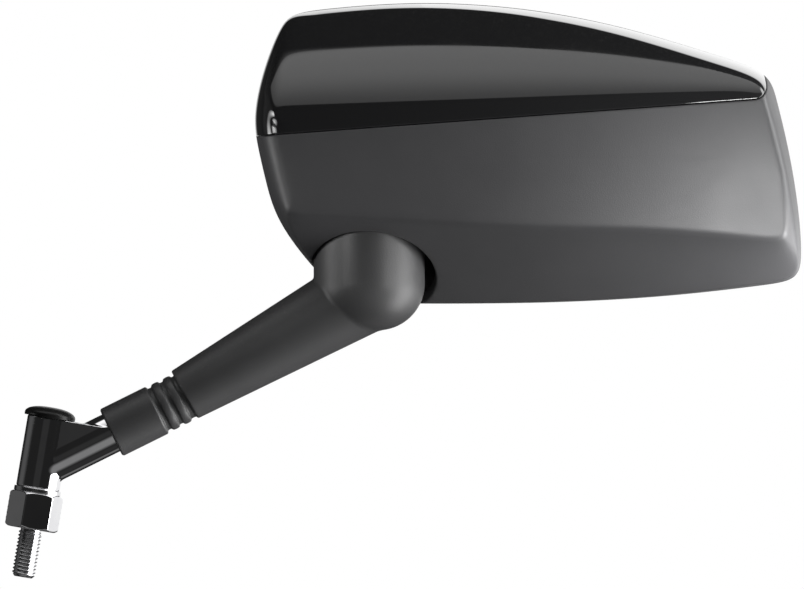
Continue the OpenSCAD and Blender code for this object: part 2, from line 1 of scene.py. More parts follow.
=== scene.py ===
import math
import bpy
import bmesh
import numpy as np
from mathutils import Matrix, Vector


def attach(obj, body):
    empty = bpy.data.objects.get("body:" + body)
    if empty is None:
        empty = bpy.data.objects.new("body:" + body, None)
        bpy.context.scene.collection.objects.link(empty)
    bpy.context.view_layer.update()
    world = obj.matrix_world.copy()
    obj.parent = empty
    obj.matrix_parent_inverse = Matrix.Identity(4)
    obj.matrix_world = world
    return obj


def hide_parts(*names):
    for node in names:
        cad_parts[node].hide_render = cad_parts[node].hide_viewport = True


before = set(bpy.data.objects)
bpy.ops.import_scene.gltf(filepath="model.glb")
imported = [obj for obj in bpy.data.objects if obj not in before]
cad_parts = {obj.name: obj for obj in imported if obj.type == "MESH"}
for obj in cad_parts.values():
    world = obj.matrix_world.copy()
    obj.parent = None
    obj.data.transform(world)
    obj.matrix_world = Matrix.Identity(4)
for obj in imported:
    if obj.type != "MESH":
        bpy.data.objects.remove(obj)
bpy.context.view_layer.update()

scene = bpy.context.scene
mm = 0.001

# places, in mm
stem = {"lean": 9.5, "rise": 26.4, "rodZ": 21.3, "rodLen": 124.5, "neck": 15.6}
lean, rise = math.radians(stem["lean"]), math.radians(stem["rise"])
studDir = np.array([math.sin(lean), 0, math.cos(lean)])
rodDir = np.array([math.cos(rise), 0, math.sin(rise)])
rodStart = studDir * stem["rodZ"]
elbow = rodStart + rodDir * stem["rodLen"]
ball = elbow + np.array([0, 0, stem["neck"]])


def leanOver(points):  # from the stud's own frame to the mirror's
    c, s = math.cos(lean), math.sin(lean)
    p = np.asarray(points, float)
    return np.stack([p[:, 0] * c + p[:, 2] * s, p[:, 1], p[:, 2] * c - p[:, 0] * s], 1)


def standUp(points):  # and back
    c, s = math.cos(lean), math.sin(lean)
    return np.stack([points[:, 0] * c - points[:, 2] * s, points[:, 1],
                     points[:, 2] * c + points[:, 0] * s], 1)


# making pieces
def addPiece(name, verts, faces, body, slot, material, replaces=(), normals=None):
    mesh = bpy.data.meshes.new(name)
    mesh.from_pydata((np.asarray(verts, float) * mm).tolist(), [], [list(f) for f in faces])
    mesh.validate()
    mesh.shade_smooth()
    if normals is not None:
        mesh.normals_split_custom_set_from_vertices(np.asarray(normals, float).tolist())
    return place(bpy.data.objects.new(name, mesh), body, slot, material, replaces)


def place(piece, body, slot, material, replaces=()):
    scene.collection.objects.link(piece)
    piece.data.materials.append(material)
    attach(piece, body)
    if replaces:
        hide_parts(*replaces)
    return piece


def gridFaces(rows, cols, start=0, flip=False):  # quads of rows that close round
    k = np.arange(rows - 1)[:, None] * cols + start
    i, j = np.arange(cols)[None, :], (np.arange(cols)[None, :] + 1) % cols
    quads = np.stack([k + i, k + j, k + cols + j, k + cols + i], -1).reshape(-1, 4)
    return (quads[:, ::-1] if flip else quads).tolist()


def shapeFromField(field, low, high, step):  # quads and normals of the surface where field is 0
    axes = [np.arange(low[k] - step, high[k] + 2 * step, step) for k in range(3)]
    size = [len(a) for a in axes]
    cells = np.stack(np.meshgrid(*axes, indexing="ij"), -1).reshape(-1, 3)
    value = np.concatenate([field(c) for c in np.array_split(cells, 24)]).reshape(size)
    inside = value < 0
    total = np.zeros([n - 1 for n in size] + [3])
    count = np.zeros([n - 1 for n in size])
    quads = []
    for k in range(3):
        a, b = (k + 1) % 3, (k + 2) % 3
        lowHalf = [slice(None)] * 3
        highHalf = [slice(None)] * 3
        lowHalf[k], highHalf[k] = slice(0, -1), slice(1, None)
        v0, v1 = value[tuple(lowHalf)], value[tuple(highHalf)]
        cross = inside[tuple(lowHalf)] != inside[tuple(highHalf)]
        cross[tuple(0 if n != k else slice(None) for n in range(3))] = False
        idx = np.argwhere(cross)
        t = v0[cross] / (v0[cross] - v1[cross])
        point = np.stack([axes[n][idx[:, n]] for n in range(3)], -1).astype(float)
        point[:, k] += t * step
        ring = []
        for da, db in ((-1, -1), (0, -1), (0, 0), (-1, 0)):
            cell = idx.copy()
            cell[:, a] += da
            cell[:, b] += db
            ok = np.all((cell >= 0) & (cell < np.array(size) - 1), 1)
            c = cell[ok]
            np.add.at(total, (c[:, 0], c[:, 1], c[:, 2]), point[ok])
            np.add.at(count, (c[:, 0], c[:, 1], c[:, 2]), 1)
            ring.append(np.clip(cell, 0, np.array(size) - 2))
        start = inside[tuple(lowHalf)][cross]
        corner = np.stack([np.ravel_multi_index(c.T, total.shape[:3]) for c in ring], 1)
        quads.append(np.where(start[:, None], corner, corner[:, ::-1]))
    used = count.reshape(-1) > 0
    verts = total.reshape(-1, 3)[used] / count.reshape(-1)[used][:, None]
    number = np.cumsum(used) - 1
    quads = number[np.concatenate(quads)]
    tiny = 0.02
    for turn in range(4):
        d = field(verts)
        slope = np.stack([field(verts + np.eye(3)[n] * tiny) - field(verts - np.eye(3)[n] * tiny)
                          for n in range(3)], 1) / (2 * tiny)
        steep = np.maximum((slope ** 2).sum(1), 0.05)
        if turn < 3:
            verts = verts - slope * np.clip(d, -step, step)[:, None] / steep[:, None]
    return verts, quads.tolist(), slope / np.sqrt(steep)[:, None]


# shapes as distances, in mm
def joined(a, b, k):  # union with a fillet
    h = np.clip(0.5 + 0.5 * (b - a) / k, 0, 1)
    return b * (1 - h) + a * h - k * h * (1 - h)


def cut(a, b, k):  # a without b, with an eased edge
    return -joined(-a, b, k)


def kept(a, b, k):  # the part of a inside b
    return -joined(-a, -b, k)


def barrel(p, start, axis, low, high, radius, ease):  # rounded cylinder; radius may change along it
    q = p - start
    h = q @ axis
    r = np.sqrt(np.maximum((q ** 2).sum(1) - h * h, 0))
    x = r - (radius(h) if callable(radius) else radius) + ease
    y = np.maximum(low - h, h - high) + ease
    return np.hypot(np.maximum(x, 0), np.maximum(y, 0)) + np.minimum(np.maximum(x, y), 0) - ease


print("helpers ready")


# shader groups
def newGroup(name, inputs, outputs):
    group = bpy.data.node_groups.new(name, "ShaderNodeTree")
    for label, default in inputs:
        socket = group.interface.new_socket(label, in_out="INPUT", socket_type="NodeSocketFloat")
        socket.default_value = default
    for label in outputs:
        group.interface.new_socket(label, in_out="OUTPUT", socket_type="NodeSocketFloat")
    return group, group.nodes.new("NodeGroupInput"), group.nodes.new("NodeGroupOutput")


def node(tree, kind, **settings):
    made = tree.nodes.new(kind)
    for key, value in settings.items():
        setattr(made, key, value)
    return made


def link(tree, source, target):
    tree.links.new(source, target)


def feed(tree, socket, value):  # a number, a colour or another node's output
    if isinstance(value, (int, float)):
        socket.default_value = value
    elif isinstance(value, tuple):
        socket.default_value = (*value, 1)
    else:
        link(tree, value, socket)


def mathNode(tree, operation, *values, clamp=False):
    made = node(tree, "ShaderNodeMath", operation=operation, use_clamp=clamp)
    for k, value in enumerate(values):
        feed(tree, made.inputs[k], value)
    return made.outputs[0]


def mapped(tree, value, fromLow, fromHigh, toLow, toHigh, smooth=False):
    made = node(tree, "ShaderNodeMapRange")
    if smooth:
        made.interpolation_type = "SMOOTHSTEP"
    for k, given in enumerate((value, fromLow, fromHigh, toLow, toHigh)):
        feed(tree, made.inputs[k], given)
    return made.outputs[0]


def noise(tree, where, scale, detail=2.0, roughness=0.5):
    made = node(tree, "ShaderNodeTexNoise")
    link(tree, where, made.inputs["Vector"])
    feed(tree, made.inputs["Scale"], scale)
    made.inputs["Detail"].default_value = detail
    made.inputs["Roughness"].default_value = roughness
    return made.outputs["Fac"]


def makeMouldedGrain():  # spark-eroded mould texture: fine pits on a soft mottle
    group, given, out = newGroup("mouldedGrain", [("Scale", 2200.0), ("Pits", 0.5)],
                                 ["Height", "Mottle"])
    where = node(group, "ShaderNodeTexCoord").outputs["Object"]
    fine = noise(group, where, given.outputs["Scale"], 3.0, 0.6)
    cells = node(group, "ShaderNodeTexVoronoi")
    link(group, where, cells.inputs["Vector"])
    link(group, given.outputs["Scale"], cells.inputs["Scale"])
    pits = mathNode(group, "MULTIPLY", cells.outputs["Distance"], given.outputs["Pits"])
    link(group, mathNode(group, "ADD", fine, pits), out.inputs["Height"])
    link(group, noise(group, where, 45.0, 4.0, 0.6), out.inputs["Mottle"])
    return group


def makeHandling():  # faint smears and settled dust, stronger on faces that look up
    group, given, out = newGroup("handling", [("Scale", 60.0), ("Contrast", 0.5)],
                                 ["Smear", "Dust"])
    where = node(group, "ShaderNodeTexCoord").outputs["Object"]
    cloud = noise(group, where, given.outputs["Scale"], 5.0, 0.62)
    smear = mathNode(group, "MULTIPLY", mapped(group, cloud, 0.42, 0.7, 0.0, 1.0),
                     given.outputs["Contrast"])
    link(group, smear, out.inputs["Smear"])
    up = node(group, "ShaderNodeSeparateXYZ")
    link(group, node(group, "ShaderNodeNewGeometry").outputs["Normal"], up.inputs[0])
    specks = mapped(group, noise(group, where, 900.0, 3.0, 0.7), 0.52, 0.72, 0.0, 1.0)
    settled = mapped(group, up.outputs["Z"], 0.1, 0.9, 0.0, 1.0)
    link(group, mathNode(group, "MULTIPLY", specks, settled), out.inputs["Dust"])
    return group


def makeEdgeWear():  # corners that rub first
    group, given, out = newGroup("edgeWear", [("Start", 0.52), ("End", 0.58), ("Break", 400.0)],
                                 ["Mask"])
    point = node(group, "ShaderNodeNewGeometry").outputs["Pointiness"]
    where = node(group, "ShaderNodeTexCoord").outputs["Object"]
    edge = mapped(group, point, given.outputs["Start"], given.outputs["End"], 0.0, 1.0)
    broken = mapped(group, noise(group, where, given.outputs["Break"], 3.0), 0.35, 0.65, 0.2, 1.0)
    link(group, mathNode(group, "MULTIPLY", edge, broken, clamp=True), out.inputs["Mask"])
    return group


def makeHairlines():  # polishing lines, along the piece's own X
    group, given, out = newGroup("hairlines", [("Scale", 900.0), ("Length", 30.0)], ["Height"])
    where = node(group, "ShaderNodeTexCoord").outputs["Object"]
    stretch = node(group, "ShaderNodeMapping")
    link(group, where, stretch.inputs["Vector"])
    parts = node(group, "ShaderNodeCombineXYZ")
    link(group, mathNode(group, "DIVIDE", 1.0, given.outputs["Length"]), parts.inputs["X"])
    parts.inputs["Y"].default_value = parts.inputs["Z"].default_value = 1.0
    link(group, parts.outputs[0], stretch.inputs["Scale"])
    link(group, noise(group, stretch.outputs[0], given.outputs["Scale"], 2.0), out.inputs["Height"])
    return group


groups = {"grain": makeMouldedGrain(), "handling": makeHandling(),
          "wear": makeEdgeWear(), "hairlines": makeHairlines()}


def useGroup(tree, name, **values):
    made = node(tree, "ShaderNodeGroup", node_tree=groups[name])
    for key, value in values.items():
        made.inputs[key].default_value = value
    return made.outputs


def mixColour(tree, mask, first, second):
    made = node(tree, "ShaderNodeMix", data_type="RGBA")
    link(tree, mask, made.inputs["Factor"])
    feed(tree, made.inputs["A"], first)
    feed(tree, made.inputs["B"], second)
    return made.outputs["Result"]


def newFinish(name, **sockets):
    made = bpy.data.materials.new(name)
    made.use_nodes = True
    tree = made.node_tree
    shader = tree.nodes["Principled BSDF"]
    for key, value in sockets.items():
        shader.inputs[key.replace("_", " ")].default_value = value
    return made, tree, shader


def bump(tree, shader, height, strength, distance):
    made = node(tree, "ShaderNodeBump")
    made.inputs["Strength"].default_value = strength
    made.inputs["Distance"].default_value = distance
    link(tree, height, made.inputs["Height"])
    link(tree, made.outputs[0], shader.inputs["Normal"])


def smearedGloss(tree, shader, smear, clean, smeared):  # roughness, clean and where smeared
    link(tree, mapped(tree, smear, 0.0, 1.0, clean, smeared), shader.inputs["Roughness"])


def mouldedFinish(name, look):  # grained plastic and rubber
    made, tree, shader = newFinish(name, IOR=look.get("ior", 1.5), Specular_IOR_Level=look["gloss"])
    grain = useGroup(tree, "grain", Scale=look["grainScale"], Pits=look["pits"])
    handling = useGroup(tree, "handling", Scale=look["smearScale"], Contrast=1.0)
    wear = useGroup(tree, "wear")
    tone = mixColour(tree, grain["Mottle"], look["dark"], look["light"])
    dusty = mixColour(tree, mathNode(tree, "MULTIPLY", handling["Dust"], look["dust"]), tone,
                      (0.35, 0.34, 0.32))
    worn = mixColour(tree, mathNode(tree, "MULTIPLY", wear["Mask"], look["wear"]), dusty,
                     look["worn"])
    link(tree, worn, shader.inputs["Base Color"])
    smearedGloss(tree, shader, handling["Smear"], look["rough"], look["rough"] - look["smear"])
    bump(tree, shader, grain["Height"], look["bump"], look["depth"] * mm)
    return made


def platedFinish(name, look):  # chrome, zinc and bare steel
    made, tree, shader = newFinish(name, Metallic=1.0)
    handling = useGroup(tree, "handling", Scale=look["smearScale"], Contrast=1.0)
    lines = useGroup(tree, "hairlines", Scale=look["lineScale"], Length=look["lineLength"])
    tone = mixColour(tree, handling["Smear"], look["light"], look["dark"])
    link(tree, tone, shader.inputs["Base Color"])
    smearedGloss(tree, shader, handling["Smear"], look["rough"], look["rough"] + look["smear"])
    bump(tree, shader, lines["Height"], look["bump"], 0.02 * mm)
    return made


def lacqueredFinish(name, look):  # high-gloss moulding
    made, tree, shader = newFinish(name, IOR=look["ior"], Coat_Weight=look["coat"],
                                   Coat_IOR=look["ior"], Coat_Roughness=0.03)
    grain = useGroup(tree, "grain", Scale=look["peelScale"], Pits=0.0)
    handling = useGroup(tree, "handling", Scale=look["smearScale"], Contrast=1.0)
    dusty = mixColour(tree, mathNode(tree, "MULTIPLY", handling["Dust"], look["dust"]),
                      look["colour"], (0.3, 0.3, 0.29))
    link(tree, dusty, shader.inputs["Base Color"])
    smearedGloss(tree, shader, handling["Smear"], look["rough"], look["rough"] + look["smear"])
    bump(tree, shader, grain["Height"], look["bump"], 0.02 * mm)
    return made


shellLook = {"dark": (0.040, 0.040, 0.042), "light": (0.052, 0.052, 0.054), "gloss": 0.5,
             "grainScale": 2600.0, "pits": 0.6, "smearScale": 35.0, "smear": 0.06, "rough": 0.5,
             "dust": 0.05, "wear": 0.12, "worn": (0.12, 0.12, 0.12), "bump": 0.45, "depth": 0.06}
bootLook = {"dark": (0.045, 0.045, 0.046), "light": (0.062, 0.062, 0.063), "gloss": 0.45,
            "grainScale": 1900.0, "pits": 0.4, "smearScale": 50.0, "smear": 0.06, "rough": 0.44,
            "dust": 0.10, "wear": 0.15, "worn": (0.10, 0.10, 0.10), "bump": 0.35, "depth": 0.08}
sealLook = dict(bootLook, dark=(0.018, 0.018, 0.019), light=(0.028, 0.028, 0.029), rough=0.45)
carrierLook = dict(shellLook, dark=(0.03, 0.03, 0.032), light=(0.045, 0.045, 0.047), rough=0.42)
nylonLook = dict(shellLook, dark=(0.62, 0.61, 0.56), light=(0.74, 0.73, 0.68), rough=0.4,
                 worn=(0.8, 0.8, 0.76))
padLook = dict(bootLook, dark=(0.10, 0.10, 0.11), light=(0.15, 0.15, 0.16), rough=0.85,
               grainScale=900.0)
chromeLook = {"light": (0.86, 0.86, 0.87), "dark": (0.78, 0.78, 0.80), "rough": 0.045,
              "smear": 0.03, "smearScale": 90.0, "lineScale": 700.0, "lineLength": 20.0,
              "bump": 0.03}
zincLook = dict(chromeLook, light=(0.80, 0.80, 0.81), dark=(0.70, 0.70, 0.71), rough=0.12,
                smear=0.08, bump=0.06)
steelLook = dict(chromeLook, light=(0.50, 0.50, 0.51), dark=(0.38, 0.38, 0.39), rough=0.32,
                 smear=0.1, bump=0.15)
bronzeLook = dict(chromeLook, light=(0.70, 0.50, 0.28), dark=(0.55, 0.39, 0.22), rough=0.35,
                  smear=0.1, bump=0.1)
capLook = {"colour": (0.012, 0.012, 0.0125), "ior": 1.4, "coat": 1.0, "rough": 0.05, "smear": 0.05,
           "smearScale": 40.0, "peelScale": 120.0, "dust": 0.03, "bump": 0.02}
plugLook = dict(capLook, colour=(0.010, 0.010, 0.010), ior=1.3, coat=0.0, rough=0.3, smear=0.1,
                bump=0.04)

finishes = {
    "shell": mouldedFinish("mattShell", shellLook), "boot": mouldedFinish("bootRubber", bootLook),
    "seal": mouldedFinish("sealRubber", sealLook),
    "carrier": mouldedFinish("carrierPlastic", carrierLook),
    "nylon": mouldedFinish("seatNylon", nylonLook), "pad": mouldedFinish("padFoam", padLook),
    "chrome": platedFinish("stemChrome", chromeLook), "zinc": platedFinish("brightZinc", zincLook),
    "steel": platedFinish("springSteel", steelLook),
    "bronze": platedFinish("bushBronze", bronzeLook),
    "cap": lacqueredFinish("glossCap", capLook), "plug": lacqueredFinish("plugBlack", plugLook)}


def mirrorFinish():  # silvered glass: a metallic mirror; coat IOR and roughness are set, but no coat weight
    made, tree, shader = newFinish("silveredGlass", Metallic=1.0, Coat_IOR=1.5, Coat_Roughness=0.01)
    handling = useGroup(tree, "handling", Scale=25.0, Contrast=1.0)
    tone = mixColour(tree, handling["Smear"], (0.86, 0.88, 0.90), (0.80, 0.82, 0.84))
    link(tree, tone, shader.inputs["Base Color"])
    smearedGloss(tree, shader, handling["Smear"], 0.015, 0.05)
    return made


finishes["mirror"] = mirrorFinish()
print("materials ready")


# turned pieces on the stud
studSizes = {"threadR": 4.0, "threadDepth": 0.5, "pitch": 1.25, "threadLen": 16.5, "lead": 1.0,
             "hexAcross": 16.0, "hexHigh": 12.5, "hexTurn": 7.9, "chamfer": 0.6,
             "shankR": 3.75, "shoulderZ": 28.0, "topR": 3.0, "topZ": 35.0, "columns": 84,
             "rowStep": 0.1, "runOut": 1.0, "runOutFade": 0.4, "crest": 0.12, "flank": 0.76}


def hexBody(points):
    z = studSizes
    p = standUp(points)
    r = np.hypot(p[:, 0], p[:, 1])
    flat = np.full(len(p), -1e9)
    for k in range(3):
        a = math.radians(30 + z["hexTurn"] + 60 * k)
        flat = np.maximum(flat, np.abs(p[:, 0] * math.cos(a) + p[:, 1] * math.sin(a)))
    flat = flat - z["hexAcross"] / 2
    c, s = math.cos(math.atan(z["chamfer"])), math.sin(math.atan(z["chamfer"]))
    out = (r - z["hexAcross"] / 2) * s
    cone = np.maximum(out - p[:, 2] * c, out - (z["hexHigh"] - p[:, 2]) * c)
    nut = kept(kept(flat, cone, 0.35), np.maximum(-p[:, 2], p[:, 2] - z["hexHigh"]), 0.2)
    up = np.array([0, 0, 1.0])
    shank = barrel(p, np.zeros(3), up, 6, z["shoulderZ"], z["shankR"], 0.1)
    top = barrel(p, np.zeros(3), up, 6, z["topZ"], z["topR"], 0.3)
    return np.minimum(nut, np.minimum(shank, top))


def threadRows():
    z = studSizes
    rows = int(z["threadLen"] / z["rowStep"])
    height = np.linspace(-z["threadLen"], 0.3, rows)[:, None]
    turn = np.arange(z["columns"])[None, :] / z["columns"]
    wave = np.abs((height / z["pitch"] + turn) % 1 - 0.5) * 2
    groove = np.clip((wave - z["crest"]) / z["flank"], 0, 1)
    r = z["threadR"] - z["threadDepth"] * groove * groove * (3 - 2 * groove)
    r = np.minimum(r, z["threadR"] - z["lead"] + height + z["threadLen"])
    blend = np.clip((height + z["runOut"]) / z["runOutFade"], 0, 1)
    r = r * (1 - blend) + (z["threadR"] - z["threadDepth"]) * blend
    a = turn * 2 * math.pi
    rows3 = np.stack([r * np.cos(a), r * np.sin(a), height + 0 * a], -1)
    return leanOver(rows3.reshape(-1, 3)), rows


verts, quads, _ = shapeFromField(hexBody, [-10, -9.6, -2.5], [12.5, 9.6, 36.5], 0.3)
threadPoints, rows = threadRows()
base = len(verts)
tip = leanOver([[0, 0, -studSizes["threadLen"]]])
allPoints = np.concatenate([verts, threadPoints, tip])
columns = studSizes["columns"]
faces = quads + gridFaces(rows, columns, base)
faces += [(base + (i + 1) % columns, base + i, len(allPoints) - 1) for i in range(columns)]
addPiece("studAndHexagon", allPoints, faces, "pivot", "bright_steel", finishes["chrome"],
         ["pivot_stud"])


def turned(name, profile, body, slot, material, replaces, columns=96):  # profile: radius, height
    profile = np.asarray(profile, float)
    a = np.arange(columns) / columns * 2 * math.pi
    rows3 = np.stack([profile[:, :1] * np.cos(a), profile[:, :1] * np.sin(a),
                      profile[:, 1:] + 0 * a], -1)
    piece = addPiece(name, leanOver(rows3.reshape(-1, 3)), gridFaces(len(profile), columns),
                     body, slot, material, replaces)
    bm = bmesh.new()
    bm.from_mesh(piece.data)
    bmesh.ops.remove_doubles(bm, verts=bm.verts, dist=1e-6)
    bmesh.ops.recalc_face_normals(bm, faces=bm.faces)
    bm.to_mesh(piece.data)
    bm.free()
    piece.data.shade_smooth()
    return piece


def easedLoop(points, ease, steps=3):  # a closed profile with its corners rounded
    out = []
    points = [np.array(p, float) for p in points]
    for k, p in enumerate(points):
        a, b = points[k - 1], points[(k + 1) % len(points)]
        u, v = (a - p) / np.linalg.norm(a - p), (b - p) / np.linalg.norm(b - p)
        for t in np.linspace(0, 1, steps + 1):
            out.append(p + u * ease * (1 - t) ** 2 + v * ease * t ** 2)
    return out + out[:1]


washer = {"inner": 3.95, "outer": 8.0, "low": 12.5, "high": 14.1, "ease": 0.25}
section = [(washer["inner"], washer["low"]), (washer["outer"], washer["low"]),
           (washer["outer"], washer["high"]), (washer["inner"], washer["high"])]
turned("thrustWasher", easedLoop(section, washer["ease"]), "pivot", "bright_steel",
       finishes["zinc"], ["thrust_washer"])

plug = {"radius": 8.7, "edge": 0.9, "high": 3.7, "seat": 38.4, "skirtR": 6.1, "skirt": 3.0,
        "wall": 0.9, "roof": 0.6, "power": 0.8, "ease": 0.3}
dome = [(plug["radius"] - plug["ease"], 0.0), (plug["radius"] - 0.08, 0.08),
        (plug["radius"], plug["ease"])]
dome += [(plug["radius"] * math.cos(math.radians(a)) ** plug["power"],
          plug["edge"] + (plug["high"] - plug["edge"]) * math.sin(math.radians(a)))
         for a in range(0, 90, 3)]
dome += [(0.02, plug["high"])]
hollow = plug["skirtR"] - plug["wall"]
skirt = [(0.02, -plug["roof"]), (hollow, -plug["roof"]), (hollow, -plug["skirt"]),
         (plug["skirtR"], -plug["skirt"]), (plug["skirtR"], -0.02)]
turned("domedPlug", [(r, h + plug["seat"]) for r, h in skirt + dome], "stem", "plug_black",
       finishes["plug"], ["boss_cap"])
print("stud, washer and plug made")

# chromed stem
stemSizes = {"bossR": 7.5, "bossLow": 14.1, "bossHigh": 38.4, "webHalf": 6.5, "rodR": 7.0,
             "bore": 4.8, "recessR": 6.1, "recessZ": 26.4, "fillet": 0.6, "edge": 0.4,
             "flatZ": 5.36, "spigotR": 3.0, "spigotLow": -4.64, "step": 0.42}


def stemBody(points):
    z = stemSizes
    p = standUp(points)
    up = np.array([0, 0, 1.0])
    boss = barrel(p, np.zeros(3), up, z["bossLow"], z["bossHigh"], z["bossR"], z["edge"])
    tilt = rise + lean
    over = (p[:, 2] - stem["rodZ"]) * math.cos(tilt) - p[:, 0] * math.sin(tilt)
    web = np.maximum(np.maximum(-over, p[:, 2] - z["bossHigh"]), -p[:, 0])
    web = kept(web, np.abs(p[:, 1]) - z["webHalf"], z["edge"])
    rod = barrel(points, rodStart, rodDir, 0, stem["rodLen"], z["rodR"], 0.2)
    end = np.sqrt(((points - elbow) ** 2).sum(1)) - z["rodR"]
    rod = np.minimum(rod, end)
    body = joined(joined(boss, web, z["fillet"] * 0.5), rod, z["fillet"])
    body = cut(body, barrel(p, np.zeros(3), up, 0, 60, z["bore"], 0.1), 0.2)
    body = cut(body, barrel(p, np.zeros(3), up, z["recessZ"], 60, z["recessR"], 0.1), 0.2)
    body = cut(body, barrel(points, elbow, up, z["flatZ"], 30, 9.0, 0.1), 0.2)
    return cut(body, barrel(points, elbow, up, z["spigotLow"], 30, z["spigotR"], 0.1), 0.2)


verts, quads, normals = shapeFromField(stemBody, [-6, -8, 12], [123, 8, 82.5], stemSizes["step"])
addPiece("chromedStem", verts, quads, "stem", "stem_chrome", finishes["chrome"], ["stem_arm"],
         normals)
print("stem made:", len(verts))

# rubber boot
bootSizes = {"collarR": 8.9, "collarStart": 26.5, "collarEnd": 44.2, "grooveR": 7.85,
             "ribR": 8.7, "ribCurve": 0.12, "pitch": 4.4, "groove": 0.36, "coneStart": 54.584,
             "coneR1": 9.25, "coneR2": 13.6, "coneShift": 0.5, "coneTilt": 3.0, "headR": 18.9,
             "wall": 1.7, "headLow": 24.3, "headTop": 11.0, "headRound": 16.0, "step": 0.5}


def bootBody(points):
    z = bootSizes
    collar = barrel(points, rodStart, rodDir, z["collarStart"], z["collarEnd"], z["collarR"], 0.8)
    core = barrel(points, rodStart, rodDir, z["collarEnd"] - 2, z["coneStart"] + 2, z["grooveR"],
                  0.1)
    body = joined(collar, core, 0.5)
    for k in range(2):
        low = z["collarEnd"] + (k + z["groove"]) * z["pitch"]
        high = low + z["pitch"] * (1 - z["groove"])
        middle = (low + high) / 2
        rib = barrel(points, rodStart, rodDir, low, high,
                     lambda h, m=middle: z["ribR"] - z["ribCurve"] * (h - m) ** 2, 0.35)
        body = joined(body, rib, 0.5)
    lift = rise + math.radians(z["coneTilt"])
    side = np.array([-math.sin(rise), 0, math.cos(rise)])
    start = rodStart + rodDir * z["coneStart"] + side * z["coneShift"]
    axis = np.array([math.cos(lift), 0, math.sin(lift)])
    length = stem["rodLen"] - z["coneStart"]
    cone = barrel(points, start, axis, 0, length,
                  lambda h: z["coneR1"] + (z["coneR2"] - z["coneR1"]) * h / length, 0.7)
    up = np.array([0, 0, 1.0])
    head = barrel(points, ball, up, -z["headLow"], 60, z["headR"], z["headRound"])
    body = joined(joined(body, cone, 0.4), head, 0.7)
    body = kept(body, points[:, 2] - ball[2] - z["headTop"], 0.8)
    bowl = barrel(points, ball, up, -z["headLow"] + z["wall"], 60, z["headR"] - z["wall"],
                  z["headRound"] - z["wall"])
    return cut(body, bowl, 0.8)


verts, quads, normals = shapeFromField(bootBody, [22, -19.5, 24], [135, 19.5, 104.5],
                                       bootSizes["step"])
addPiece("ribbedBoot", verts, quads, "stem", "boot_rubber", finishes["boot"], ["arm_boot"], normals)
print("boot made:", len(verts))

# housing surface, round the ball
skin = {"wide": 186.0, "high": 102.0, "deep": 61.0, "rimY": 31.0, "left": 39.2, "drop": 15.0,
        "crownX": 4.0, "crownZ": 2.5, "topSlope": 0.35, "topCurl": 0.5, "bandSlope": 1.43,
        "edgeRound": 6.5, "edgePower": 2.3, "topRound": 17.0, "topPower": 2.0, "topFrom": 0.03,
        "topFade": 0.09, "topFull": 30.0, "creaseBlend": 3.0, "soften": 3.0, "softenLeft": 8.5,
        "calmSteps": 40, "partX": -29.3, "partZ": 42.1, "partRise": 4.2, "capEnd": 0.942,
        "capCorner": 5.0, "capRear": 12.0, "capT": 2.0, "gap": 0.25, "wall": 2.6, "seatWall": 2.2,
        "joggleStart": 9.0, "joggleRun": 7.0, "holeX": 1.3, "holeR": 21.3, "holeTop": 16.0,
        "ledgeY": 21.8, "ledgeT": 2.0, "ledgeW": 1.7, "edge": 0.4, "lineLeft": -8.0,
        "lineRight": 26.0, "lineHigh": 0.48, "around": 440, "rings": 64, "faceRows": 30,
        "faceBunch": 1.35, "faceEnd": 0.97, "samples": 160, "bunch": 2.2, "insideAround": 220,
        "insideRings": 20, "insideRows": 10}
stations = np.array([  # rear rim and front crease, in percent of the width and the height
    [-0.3, 62.4, 3.0, 59.0], [1.5, 77.8, 3.3, 63.2], [4.6, 92.2, 4.4, 64.6], [6.8, 97.0, 7.6, 64.8],
    [13.6, 98.6, 13.6, 65.2], [29.2, 101.0, 29.2, 66.2], [48.0, 99.4, 48.0, 67.4],
    [66.8, 93.2, 66.8, 68.8], [84.6, 83.0, 84.2, 69.8], [94.4, 77.4, 92.4, 70.0],
    [95.7, 68.8, 94.0, 64.8], [98.2, 50.2, 95.4, 49.2], [99.9, 30.6, 97.0, 32.4],
    [100.4, 16.8, 97.4, 23.6], [100.0, 7.6, 96.2, 20.8], [93.8, 6.0, 90.0, 21.8],
    [76.6, 2.2, 73.4, 24.8], [56.2, 0.0, 53.4, 25.0], [34.6, -0.3, 33.0, 27.2],
    [17.2, -0.2, 15.2, 29.0], [9.8, 13.4, 8.8, 29.0], [3.8, 28.4, 5.8, 30.2],
    [2.0, 41.4, 4.6, 39.4], [0.6, 52.2, 3.5, 50.2]])
laps = len(stations)
frontY = skin["rimY"] - skin["deep"]
glassMid = np.array([skin["wide"] / 2 - skin["left"], skin["high"] / 2 - skin["drop"]])


def station(s):
    i = np.floor(s).astype(int)
    t = s - i
    w = np.stack([(1 - t) ** 3, 3 * t ** 3 - 6 * t ** 2 + 4, -3 * t ** 3 + 3 * t ** 2 + 3 * t + 1,
                  t ** 3], -1) / 6
    row = sum(w[:, k, None] * stations[(i + k - 1) % laps] for k in range(4)) / 100
    return row * ([skin["wide"], skin["high"]] * 2) - [skin["left"], skin["drop"]] * 2


def rimNormal(s):
    d = (station(s + 0.02) - station(s + laps - 0.02))[:, :2]
    return np.stack([d[:, 1], -d[:, 0]], 1) / np.hypot(d[:, 0], d[:, 1])[:, None]


def rimLoop(s, inset, y):
    p = station(s)[:, :2] + rimNormal(s) * inset
    return np.stack([p[:, 0], 0 * s + y, p[:, 1]], 1)


def smoothMax(a, b, k):
    return np.maximum(a, b) + np.maximum(k - np.abs(a - b), 0) ** 2 / (4 * k)


def faceY(x, h):
    return (frontY + skin["crownX"] * ((x + skin["left"]) * 2 / skin["wide"] - 1) ** 2
            + skin["crownZ"] * ((h + skin["drop"]) * 2 / skin["high"] - 0.9) ** 2)


